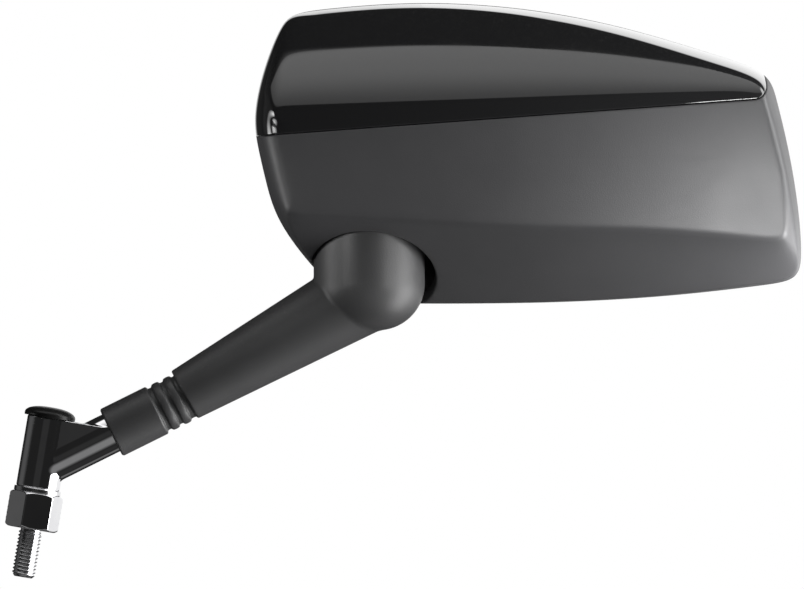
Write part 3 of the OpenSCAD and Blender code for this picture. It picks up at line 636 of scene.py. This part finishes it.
def easeIn(t):
    c = np.clip(t, 0, 1)
    return c * c * (3 - 2 * c)


def depthAt(q, off):
    line = skin["partZ"] + (q[:, 0] - skin["partX"]) * math.tan(math.radians(skin["partRise"]))
    step = easeIn((q[:, 1] - line + skin["joggleStart"]) / skin["joggleRun"])
    return off[0] + (off[1] - off[0]) * step


def edgeY(e, top):  # the rim rolls over more slowly along the top
    reach = skin["edgeRound"] + (skin["topRound"] - skin["edgeRound"]) * top
    power = skin["edgePower"] + (skin["topPower"] - skin["edgePower"]) * top
    u = np.maximum(0, 1 - e / reach)
    return skin["rimY"] - (skin["deep"] + 3) * (1 - u ** power) ** (1 / power)


def wallPoint(s, t, off):
    p, n = station(s), rimNormal(s)
    t = np.broadcast_to(t, s.shape)
    base = p[:, :2] + (p[:, 2:] - p[:, :2]) * t[:, None]
    deep = depthAt(base, off)
    q = base + n * deep[:, None]
    up = p[:, 1] > p[:, 3]
    full = np.where(up, np.maximum(1, p[:, 1] - p[:, 3]), -1)
    above = np.maximum(0, q[:, 1] - p[:, 3])
    below = np.where(up, 0, np.maximum(0, p[:, 3] - q[:, 1]))
    slope = np.where(up, skin["topSlope"] + above / full, skin["bandSlope"])
    thick = (np.hypot(1, slope) - 1) * np.minimum(1, (above + below) / 10)
    main = (faceY(q[:, 0], q[:, 1])
            + np.where(up, skin["topSlope"] * above + skin["topCurl"] * above ** 2 / full,
                       skin["bandSlope"] * below)
            + deep * (1 + thick))
    e = ((base - p[:, :2]) * n).sum(1)
    along = (p[:, 0] + skin["left"]) / skin["wide"]
    top = easeIn((along - skin["topFrom"]) / skin["topFade"])
    top = np.where(up, top * np.clip((p[:, 1] - p[:, 3]) / skin["topFull"], 0, 1), 0)
    y = np.minimum(skin["rimY"], smoothMax(main, edgeY(e, top), skin["creaseBlend"]))
    return np.stack([q[:, 0], y, q[:, 1]], 1)


def facePoint(s, t, off):
    p, n = station(s), rimNormal(s)
    right = skin["wide"] - skin["left"] - skin["lineRight"]
    to = np.stack([np.clip(p[:, 2], skin["lineLeft"], right),  # the face's middle line
                   np.full(len(s), skin["high"] * skin["lineHigh"] - skin["drop"])], 1)
    base = p[:, 2:] + (to - p[:, 2:]) * t
    deep = depthAt(base, off)
    q = base + n * (deep * (1 - t))[:, None]
    return np.stack([q[:, 0], faceY(q[:, 0], q[:, 1]) + deep, q[:, 1]], 1)


def evenRows(s, rings, startY=None, off=(0, 0)):  # equal steps along the wall's profile
    ts = np.linspace(0, 1, skin["samples"]) ** skin["bunch"]
    points = np.stack([wallPoint(s, t, off) for t in ts])
    steps = np.linalg.norm(np.diff(points, axis=0), axis=2)
    far = np.concatenate([np.zeros((1, len(s))), np.cumsum(steps, 0)])
    out = np.zeros((rings + 1, len(s)))
    for k in range(len(s)):
        first = 0.0 if startY is None else np.interp(-startY, -points[:, k, 1], far[:, k])
        out[:, k] = np.interp(np.linspace(first, far[-1, k], rings + 1), far[:, k], ts)
    return out


def surfaceRows(around, rings, faceRows, off=(0, 0), startY=None):  # from the rim inwards
    s = np.arange(around) * laps / around
    ts = evenRows(s, rings, startY, off)
    rows3 = [wallPoint(s, t, off) for t in ts]
    if startY is None:
        rows3[0] = rimLoop(s, 0, skin["rimY"])
    ts = np.linspace(0, 1, faceRows + 1)[1:] ** skin["faceBunch"] * skin["faceEnd"]
    rows3 += [facePoint(s, t, off) for t in ts]
    return np.stack(rows3)


def closeFront(rowCount, around, start=0):  # strips over the face's middle line
    last, half = start + (rowCount - 1) * around, around // 2
    strips = [(last + i, last + i + 1, last + around - i - 1, last + around - i)
              for i in range(1, half - 1)]
    strips += [(last, last + 1, last + around - 1), (last + half - 1, last + half, last + half + 1)]
    return strips


def zoneDepth(p):  # how far inside the cap's zone, in mm
    x, y, h = p[:, 0], p[:, 1], p[:, 2]
    c, s = math.cos(math.radians(skin["partRise"])), math.sin(math.radians(skin["partRise"]))
    across = (x - skin["partX"]) * c + (h - skin["partZ"]) * s
    over = (h - skin["partZ"]) * c - (x - skin["partX"]) * s
    far = skin["wide"] * skin["capEnd"] - skin["left"] - skin["partX"] - across
    corner = skin["capCorner"] - np.hypot(np.maximum(skin["capCorner"] - far, 0),
                                          np.maximum(skin["capCorner"] - over, 0))
    flat = np.where((far < skin["capCorner"]) & (over < skin["capCorner"]), corner,
                    np.minimum(far, over))
    return np.minimum(flat, skin["rimY"] - skin["capRear"] - y)


def holeDepth(p):  # distance outside the stem hole's wall
    d = np.hypot(p[:, 0] - skin["holeX"], p[:, 1]) - skin["holeR"]
    return np.where(p[:, 2] > skin["holeTop"] + 6, 99.0, d)


def coords(bm):
    co = np.array([v.co[:] for v in bm.verts])
    bm.verts.index_update()
    return co


def scoreLines(bm, depth, levels):  # new edges where depth reaches each level
    for level in levels:
        bm.verts.ensure_lookup_table()
        value = depth(coords(bm)) - level
        value[np.abs(value) < 1e-4] = 0
        onLine = {bm.verts[int(k)] for k in np.flatnonzero(value == 0)}
        crossing = [e for e in bm.edges
                    if value[e.verts[0].index] * value[e.verts[1].index] < 0]
        for e in crossing:
            a, b = e.verts
            va, vb = value[a.index], value[b.index]
            _, made = bmesh.utils.edge_split(e, a, va / (va - vb))
            onLine.add(made)
        touched = {f for v in onLine for f in v.link_faces}
        for f in touched:
            hits = [v for v in f.verts if v in onLine]
            if len(hits) == 2 and not any(e.other_vert(hits[0]) is hits[1]
                                          for e in hits[0].link_edges if e in f.edges):
                bmesh.utils.face_split(f, hits[0], hits[1])


def rolled(d, r):  # how far a rounded edge drops at a distance from it
    u = np.clip(1 - d / r, 0, 1)
    return r - np.sqrt(r * r - (r * u) ** 2)


rollSteps = [0, 0.05, 0.134, 0.3, 0.5, 1.0]  # where a rounded edge gets its lines
crease = {"leftTo": 0.06, "leftFade": 0.04, "leftTop": 0.84, "leftTopFade": 0.17, "lowTo": 0.80,
          "lowFade": 0.1, "reachTimes": 2.2, "sample": 0.25, "calm": 0.5}


def softened(rows3, rings):  # averages each column of points along its length near the crease
    grid = np.arange(-12, 70, crease["sample"])  # mm from the crease, down to the face's middle
    out, calm = rows3.copy(), np.zeros(rows3.shape[:2])
    for k in range(rows3.shape[1]):
        place = station(np.array([k * laps / rows3.shape[1]]))[0]
        along = (place[0] + skin["left"]) / skin["wide"]
        height = (place[1] + skin["drop"]) / skin["high"]
        left = easeIn((crease["leftTo"] - along) / crease["leftFade"])
        left *= easeIn((crease["leftTop"] - height) / crease["leftTopFade"])
        low = easeIn((crease["lowTo"] - height) / crease["lowFade"])
        reach = max(skin["soften"] * low, skin["softenLeft"] * left)
        if reach < 0.5:  # too little to show
            continue
        column = rows3[:, k]
        far = np.concatenate([[0], np.cumsum(np.linalg.norm(np.diff(column, axis=0), axis=1))])
        far -= far[rings]
        near = np.stack([np.interp(grid, far, column[:, i]) for i in range(3)], 1)
        box = np.ones(max(1, int(round(reach / crease["sample"]))))
        kernel = np.convolve(box, box)
        kernel /= kernel.sum()
        pad = len(kernel) // 2
        wide = np.pad(near, ((pad, pad), (0, 0)), mode="edge")
        even = np.stack([np.convolve(wide[:, i], kernel, "valid") for i in range(3)], 1)
        share = easeIn((reach * crease["reachTimes"] - np.abs(far)) / reach)[:, None]
        smooth = np.stack([np.interp(far, grid, even[:, i]) for i in range(3)], 1)
        out[:, k] = column + (smooth - column) * share
        calm[:, k] = share[:, 0] * left * crease["calm"]
    for _ in range(skin["calmSteps"]):  # and then in both directions at the left edge
        mean = sum(np.roll(out, way, axis) for way in (1, -1) for axis in (0, 1)) / 4
        out += (mean - out) * calm[..., None]
    return out


def outerSurface():
    rows3 = softened(surfaceRows(skin["around"], skin["rings"], skin["faceRows"]), skin["rings"])
    count = len(rows3)
    bm = bmesh.new()
    for p in rows3.reshape(-1, 3):
        bm.verts.new(p)
    bm.verts.ensure_lookup_table()
    for f in gridFaces(count, skin["around"]) + closeFront(count, skin["around"]):
        bm.faces.new([bm.verts[i] for i in f])
    bmesh.ops.recalc_face_normals(bm, faces=bm.faces)
    return bm


def faceCentres(bm, depth):
    bm.faces.ensure_lookup_table()
    centres = np.array([f.calc_center_median()[:] for f in bm.faces])
    return depth(centres)


def makeCap():
    bm = outerSurface()
    gap, r = skin["gap"], skin["edge"]
    scoreLines(bm, zoneDepth, [gap + r * k for k in rollSteps])
    bm.normal_update()
    inside = faceCentres(bm, zoneDepth) > gap
    bm.faces.index_update()
    bm.faces.ensure_lookup_table()
    normal = {v: v.normal.copy() for v in bm.verts}
    bmesh.ops.delete(bm, geom=[f for f in bm.faces if not inside[f.index]], context="FACES")
    bm.verts.ensure_lookup_table()
    bm.verts.index_update()
    here = coords(bm)
    out = np.array([normal[v][:] for v in bm.verts])
    drop = rolled(zoneDepth(here) - gap, r)
    outer = here - out * drop[:, None]
    inner = here - out * skin["capT"]
    count = len(here)
    faces = [tuple(v.index for v in f.verts) for f in bm.faces]
    border = [(e.verts[0].index, e.verts[1].index) for e in bm.edges if len(e.link_faces) == 1]
    walls = [(a, b, b + count, a + count) for a, b in border]
    back = [tuple(i + count for i in reversed(f)) for f in faces]
    points = np.concatenate([outer, inner])
    bm.free()
    return points, faces + walls + back


def makeShell():
    bm = outerSurface()
    r = skin["edge"]
    holeRound, rimRound = r * 2, r * 1.5
    scoreLines(bm, lambda p: -zoneDepth(p), [r * k for k in rollSteps])
    scoreLines(bm, holeDepth, [holeRound * k for k in rollSteps])
    scoreLines(bm, lambda p: skin["rimY"] - p[:, 1], [rimRound * k for k in rollSteps[1:]])
    bm.normal_update()
    bm.faces.index_update()
    zone, hole = faceCentres(bm, zoneDepth), faceCentres(bm, holeDepth)
    matt = {f for f in bm.faces if zone[f.index] < 0 and hole[f.index] > 0}
    seat = {f for f in bm.faces if zone[f.index] >= 0}
    bm.verts.index_update()
    here = coords(bm)
    out = np.array([v.normal[:] for v in bm.verts])
    drop = rolled(-zoneDepth(here), r)
    drop = np.maximum(drop, rolled(holeDepth(here), holeRound))
    drop = np.maximum(drop, rolled(skin["rimY"] - here[:, 1], rimRound))
    count = len(here)
    outer = here - out * drop[:, None]
    step = here - out * (skin["capT"] + skin["gap"])
    faces = [tuple(v.index for v in f.verts) for f in matt]
    faces += [tuple(v.index + count for v in f.verts) for f in seat]
    holeEdge = []
    for e in bm.edges:
        sides = list(e.link_faces)
        a, b = e.verts[0].index, e.verts[1].index
        if len(sides) == 2 and (sides[0] in matt) != (sides[1] in matt):
            if sides[0] in seat or sides[1] in seat:
                faces.append((a, b, b + count, a + count))
            else:
                holeEdge.append((a, b))
    bm.free()
    points = [outer, step]
    total = 2 * count
    around = skin["insideAround"]
    underCap = skin["capT"] + skin["gap"] + skin["seatWall"]
    inside = surfaceRows(around, skin["insideRings"], skin["insideRows"],
                         (skin["wall"], underCap), skin["ledgeY"] - skin["ledgeT"])
    lift, raised = {}, []
    for a in dict.fromkeys(a for e in holeEdge for a in e):  # the hole's wall stands up
        lift[a] = total + len(raised)
        raised.append(outer[a] + [0, 0, skin["wall"]])
    points.append(np.array(raised))
    faces += [(a, b, lift[b], lift[a]) for a, b in holeEdge]
    total += len(raised)
    keep = holeDepth(inside.reshape(-1, 3)) > 0
    quads = np.array(gridFaces(len(inside), around, 0, True))
    faces += (quads[keep[quads].all(1)] + total).tolist()
    faces += closeFront(len(inside), around, total)
    points.append(inside.reshape(-1, 3))
    total += len(inside) * around
    s = np.arange(skin["around"]) * laps / skin["around"]
    wall, rim, ledge = skin["wall"], skin["rimY"], skin["ledgeY"]
    far, low = wall + skin["ledgeW"], ledge - skin["ledgeT"]
    profile = [(rimRound, rim), (wall - 0.3, rim), (wall - 0.08, rim - 0.08), (wall, rim - 0.3),
               (wall, ledge), (far, ledge), (far, low), (wall - 0.2, low)]
    loops = [rimLoop(s, inset, y) for inset, y in profile]
    faces += gridFaces(len(loops), skin["around"], total)
    points += loops
    return np.concatenate(points), faces


def finishShape(piece):
    bm = bmesh.new()
    bm.from_mesh(piece.data)
    bmesh.ops.delete(bm, geom=[v for v in bm.verts if not v.link_faces], context="VERTS")
    bmesh.ops.remove_doubles(bm, verts=bm.verts, dist=2e-6)
    bmesh.ops.recalc_face_normals(bm, faces=bm.faces)
    bm.to_mesh(piece.data)
    bm.free()
    piece.data.shade_smooth()


points, faces = makeCap()
finishShape(addPiece("glossCap", points + ball, faces, "head", "cap_gloss", finishes["cap"],
                     ["upper_cap"]))
print("cap made:", len(points))
points, faces = makeShell()
finishShape(addPiece("mattShell", points + ball, faces, "head", "shell_plastic",
                     finishes["shell"], ["housing_shell"]))
print("shell made:", len(points))

# glass and its seal
glass = {"thick": 2.0, "radius": 1400.0, "apex": 30.4, "inset": 3.5, "edge": 0.25, "around": 440,
         "rows": 16, "lip": 1.2, "proud": 0.6, "bond": 0.1}


def domeY(p, depth):
    far = (p[:, 0] - glassMid[0]) ** 2 + (p[:, 2] - glassMid[1]) ** 2
    return glass["apex"] - glass["radius"] + np.sqrt((glass["radius"] - depth) ** 2 - far)


def onDome(loop, depth):
    out = loop.copy()
    out[:, 1] = domeY(loop, depth)
    return out


def makeGlass():
    s = np.arange(glass["around"]) * laps / glass["around"]
    e, t = glass["edge"], glass["thick"]
    outline = rimLoop(s, glass["inset"], 0)
    inner = rimLoop(s, glass["inset"] + e, 0)
    nearer = rimLoop(s, glass["inset"] + e * 0.3, 0)
    middle = np.array([glassMid[0], 0, glassMid[1]])
    sweep = [inner + (middle - inner) * k for k in np.linspace(0, 0.98, glass["rows"])]
    front = [onDome(p, 0) for p in reversed(sweep)]
    edge = [onDome(nearer, e * 0.3), onDome(outline, e), onDome(outline, t - e),
            onDome(nearer, t - e * 0.3)]
    back = [onDome(p, t) for p in sweep]
    rows3 = front + edge + back
    faces = gridFaces(len(rows3), len(s))
    top = len(s) * len(rows3)
    points = np.concatenate(rows3 + [onDome(middle[None], 0), onDome(middle[None], t)])
    n, last = len(s), len(s) * (len(rows3) - 1)
    faces += [((i + 1) % n, i, top) for i in range(n)]
    faces += [(last + i, last + (i + 1) % n, top + 1) for i in range(n)]
    return points, faces


def makeSeal():
    s = np.arange(glass["around"]) * laps / glass["around"]
    wall, inset, lip = skin["wall"], glass["inset"], glass["lip"]
    proud, bond = -glass["proud"], -glass["bond"]
    flat = skin["ledgeY"]
    profile = [(wall, proud + 0.35), (wall + 0.1, proud + 0.1), (wall + 0.35, proud),
               (inset + lip - 0.6, proud), (inset + lip - 0.2, proud + 0.12),
               (inset + lip, bond - 0.1), (inset + lip - 0.1, bond), (inset, bond)]
    loops = [rimLoop(s, wall, flat)]
    loops += [onDome(rimLoop(s, far, 0), depth) for far, depth in profile]
    loops += [rimLoop(s, inset, flat), rimLoop(s, wall, flat)]
    return np.concatenate(loops), gridFaces(len(loops), len(s))


points, faces = makeGlass()
finishShape(addPiece("convexGlass", points + ball, faces, "head", "glass_mirror",
                     finishes["mirror"], ["mirror_glass"]))
points, faces = makeSeal()
finishShape(addPiece("glassSeal", points + ball, faces, "head", "seal_rubber", finishes["seal"],
                     ["glass_seal"]))
print("glass and seal made")

# CAD pieces that stay
innerFinishes = {
    "disc_springs": "steel", "nut_washer": "zinc", "lock_nut": "zinc", "boss_bushes": "bronze",
    "pivot_ball": "chrome", "pressure_cup": "nylon", "ball_seat_ring": "nylon",
    "socket_bracket": "steel", "joint_spring": "steel", "tension_plug": "zinc",
    "bracket_screws": "zinc", "cap_screws": "zinc", "glass_carrier": "carrier",
    "carrier_screws": "zinc", "glass_pad": "pad"}
for name, finish in innerFinishes.items():
    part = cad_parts[name]
    if not part.material_slots:
        part.data.materials.append(finishes[finish])
    for s in part.material_slots:
        s.material = finishes[finish]
print("inner pieces finished")

# camera
view = {"pixels": 804, "perMm": 2.94, "zeroU": 31.0, "zeroV": 529.3, "middle": (402.0, 294.5),
        "lens": 1100.0, "sensor": 36.0}
across = view["pixels"] / view["perMm"] * mm
camera = bpy.data.cameras.new("camera")
camera.lens, camera.sensor_width = view["lens"], view["sensor"]
cameraObject = bpy.data.objects.new("camera", camera)
cameraObject.location = ((view["middle"][0] - view["zeroU"]) / view["perMm"] * mm,
                         -across * view["lens"] / view["sensor"],
                         (view["zeroV"] - view["middle"][1]) / view["perMm"] * mm)
cameraObject.rotation_euler = (math.radians(90), 0, 0)
camera.clip_end = 40
scene.collection.objects.link(cameraObject)
scene.camera = cameraObject

# studio
studio = {"floorX": 0.12, "floorZ": -0.075, "floorR": 0.9, "floorGlow": 0.5, "room": 0.015,
          "backdrop": 0.6}
backdropWindows = [(57, 136, -30, 22, 6), (130, 400, -10, 22, 8), (-400, -178, -30, 22, 8)]
glowWindows = {  # degrees: azimuths from and to, elevations from and to, soft edge; strength
    "rightBox": [(60, 104, -50, 55, 10, 6.5)],  # large softbox beside the camera
    "overhead": [(-100, 100, 45, 200, 4, 0.62), (-100, 100, 60, 200, 30, 0.88)],
    "leftGlow": [(-128, -88, -30, 40, 24, 0.07)],
    "ground": [(-60, 60, -52, -18, 16, 0.2)],
    "under": [(135, 400, -120, -45, 20, 0.17), (-400, -135, -120, -45, 20, 0.17),
              (-400, 400, -120, -60, 10, 0.012)],
    "webGlow": [(-28, 5, -12, 12, 8, 0.014)]}


def makePatch():  # a soft-edged window of the room: azimuth from the camera's side, and elevation
    group, given, out = newGroup("roomPatch", [("Azimuth", 0), ("Elevation", 0), ("From", 0),
                                               ("To", 0), ("Low", 0), ("High", 0), ("Soft", 5.0)],
                                 ["Mask"])

    def edge(value, limit, sign):
        d = mathNode(group, "MULTIPLY", mathNode(group, "SUBTRACT", value, limit), sign)
        d = mathNode(group, "DIVIDE", d, given.outputs["Soft"])
        return mapped(group, d, -0.5, 0.5, 0.0, 1.0, smooth=True)

    a, e = given.outputs["Azimuth"], given.outputs["Elevation"]
    wide = mathNode(group, "MULTIPLY", edge(a, given.outputs["From"], 1.0),
                    edge(a, given.outputs["To"], -1.0))
    tall = mathNode(group, "MULTIPLY", edge(e, given.outputs["Low"], 1.0),
                    edge(e, given.outputs["High"], -1.0))
    link(group, mathNode(group, "MULTIPLY", wide, tall), out.inputs["Mask"])
    return group


groups["patch"] = makePatch()
world = bpy.data.worlds.new("studio")
scene.world = world
world.use_nodes = True
sky = world.node_tree
sky.nodes.clear()
direction = node(sky, "ShaderNodeSeparateXYZ")
link(sky, node(sky, "ShaderNodeTexCoord").outputs["Generated"], direction.inputs[0])
toFront = mathNode(sky, "MULTIPLY", direction.outputs["Y"], -1.0)
azimuth = mathNode(sky, "MULTIPLY", mathNode(sky, "ARCTAN2", direction.outputs["X"], toFront),
                   180 / math.pi)
elevation = mathNode(sky, "MULTIPLY", mathNode(sky, "ARCSINE", direction.outputs["Z"]),
                     180 / math.pi)


def roomPatch(low, high, down, up, soft, strength=1.0):  # azimuth 0 is the camera, + is +X
    made = node(sky, "ShaderNodeGroup", node_tree=groups["patch"])
    for label, value in zip(("From", "To", "Low", "High", "Soft"), (low, high, down, up, soft)):
        made.inputs[label].default_value = value
    link(sky, azimuth, made.inputs["Azimuth"])
    link(sky, elevation, made.inputs["Elevation"])
    return mathNode(sky, "MULTIPLY", made.outputs["Mask"], strength)


def combined(operation, first, *rest):
    for value in rest:
        first = mathNode(sky, operation, first, value)
    return first


backdrop = combined("MAXIMUM", *[roomPatch(*window) for window in backdropWindows])
glows = {name: combined("ADD", *[roomPatch(*window) for window in windows])
         for name, windows in glowWindows.items()}
room = combined("ADD", studio["room"], *glows.values())
dim = node(sky, "ShaderNodeBackground")
link(sky, combined("ADD", room, mathNode(sky, "MULTIPLY", backdrop, studio["backdrop"])),
     dim.inputs["Color"])
white = node(sky, "ShaderNodeBackground")
white.inputs["Color"].default_value = (1, 1, 1, 1)
path = node(sky, "ShaderNodeLightPath")
shown = mathNode(sky, "MAXIMUM", path.outputs["Is Glossy Ray"], path.outputs["Is Transmission Ray"])
shown = mathNode(sky, "MULTIPLY", shown, backdrop)  # metal and glass see the backdrop, too
unlit = mathNode(sky, "SUBTRACT", 1.0, glows["rightBox"], clamp=True)
shown = mathNode(sky, "MULTIPLY", shown, unlit)
shown = mathNode(sky, "MAXIMUM", shown, path.outputs["Is Camera Ray"])
chosen = node(sky, "ShaderNodeMixShader")
link(sky, shown, chosen.inputs[0])
link(sky, dim.outputs[0], chosen.inputs[1])
link(sky, white.outputs[0], chosen.inputs[2])
link(sky, chosen.outputs[0], node(sky, "ShaderNodeOutputWorld").inputs["Surface"])


def addLamp(name, at, towards, size, power, spread):
    lamp = bpy.data.lights.new(name, "AREA")
    lamp.shape = "RECTANGLE"
    lamp.size, lamp.size_y = size
    lamp.energy = power
    lamp.spread = math.radians(spread)
    made = bpy.data.objects.new(name, lamp)
    made.location = at
    aim = Vector(towards) - Vector(at)
    made.rotation_euler = aim.to_track_quat("-Z", "Y").to_euler()
    scene.collection.objects.link(made)
    return made


lamps = {  # place, aim and size in metres, power in watts, spread in degrees
    "griddedBox": ((0.280, -0.19, 0.080), (0.256, -0.03, 0.101), (0.06, 0.06), 0.100, 84),
    "kneeFill": ((-0.06, -0.17, 0.12), (0.108, -0.015, 0.095), (0.12, 0.05), 0.008, 36),
    "cornerFill": ((0.333, -0.05, 0.058), (0.268, -0.012, 0.085), (0.03, 0.03), 0.025, 42),
    "leftGlint": ((-0.16, -0.02, 0.115), (0.08, 0.0, 0.17), (0.2, 0.17), 0.055, 42)}
for name, settings in lamps.items():
    addLamp(name, *settings)


def makeFloor():
    made, tree, shader = newFinish("paleFloor", Roughness=0.9)
    grain = useGroup(tree, "handling", Scale=12.0, Contrast=1.0)
    link(tree, mixColour(tree, grain["Smear"], (0.87, 0.87, 0.87), (0.84, 0.84, 0.84)),
         shader.inputs["Base Color"])
    path = node(tree, "ShaderNodeLightPath")
    glow = node(tree, "ShaderNodeEmission")
    glow.inputs["Strength"].default_value = studio["floorGlow"]
    lit = node(tree, "ShaderNodeAddShader")
    link(tree, shader.outputs[0], lit.inputs[0])
    link(tree, glow.outputs[0], lit.inputs[1])
    seen = node(tree, "ShaderNodeMixShader")
    link(tree, path.outputs["Is Camera Ray"], seen.inputs[0])
    link(tree, node(tree, "ShaderNodeBsdfTransparent").outputs[0], seen.inputs[1])
    link(tree, lit.outputs[0], seen.inputs[2])
    link(tree, seen.outputs[0], tree.nodes["Material Output"].inputs["Surface"])
    mesh = bpy.data.meshes.new("floor")
    far, height = studio["floorR"], studio["floorZ"]
    ring = [(studio["floorX"] + far * math.cos(a), far * math.sin(a), height)
            for a in np.linspace(0, 2 * math.pi, 96, endpoint=False)]
    mesh.from_pydata(ring, [], [tuple(range(96))])
    floor = bpy.data.objects.new("floor", mesh)
    mesh.materials.append(made)
    scene.collection.objects.link(floor)


makeFloor()
scene.view_settings.view_transform = "Standard"
print("studio ready")
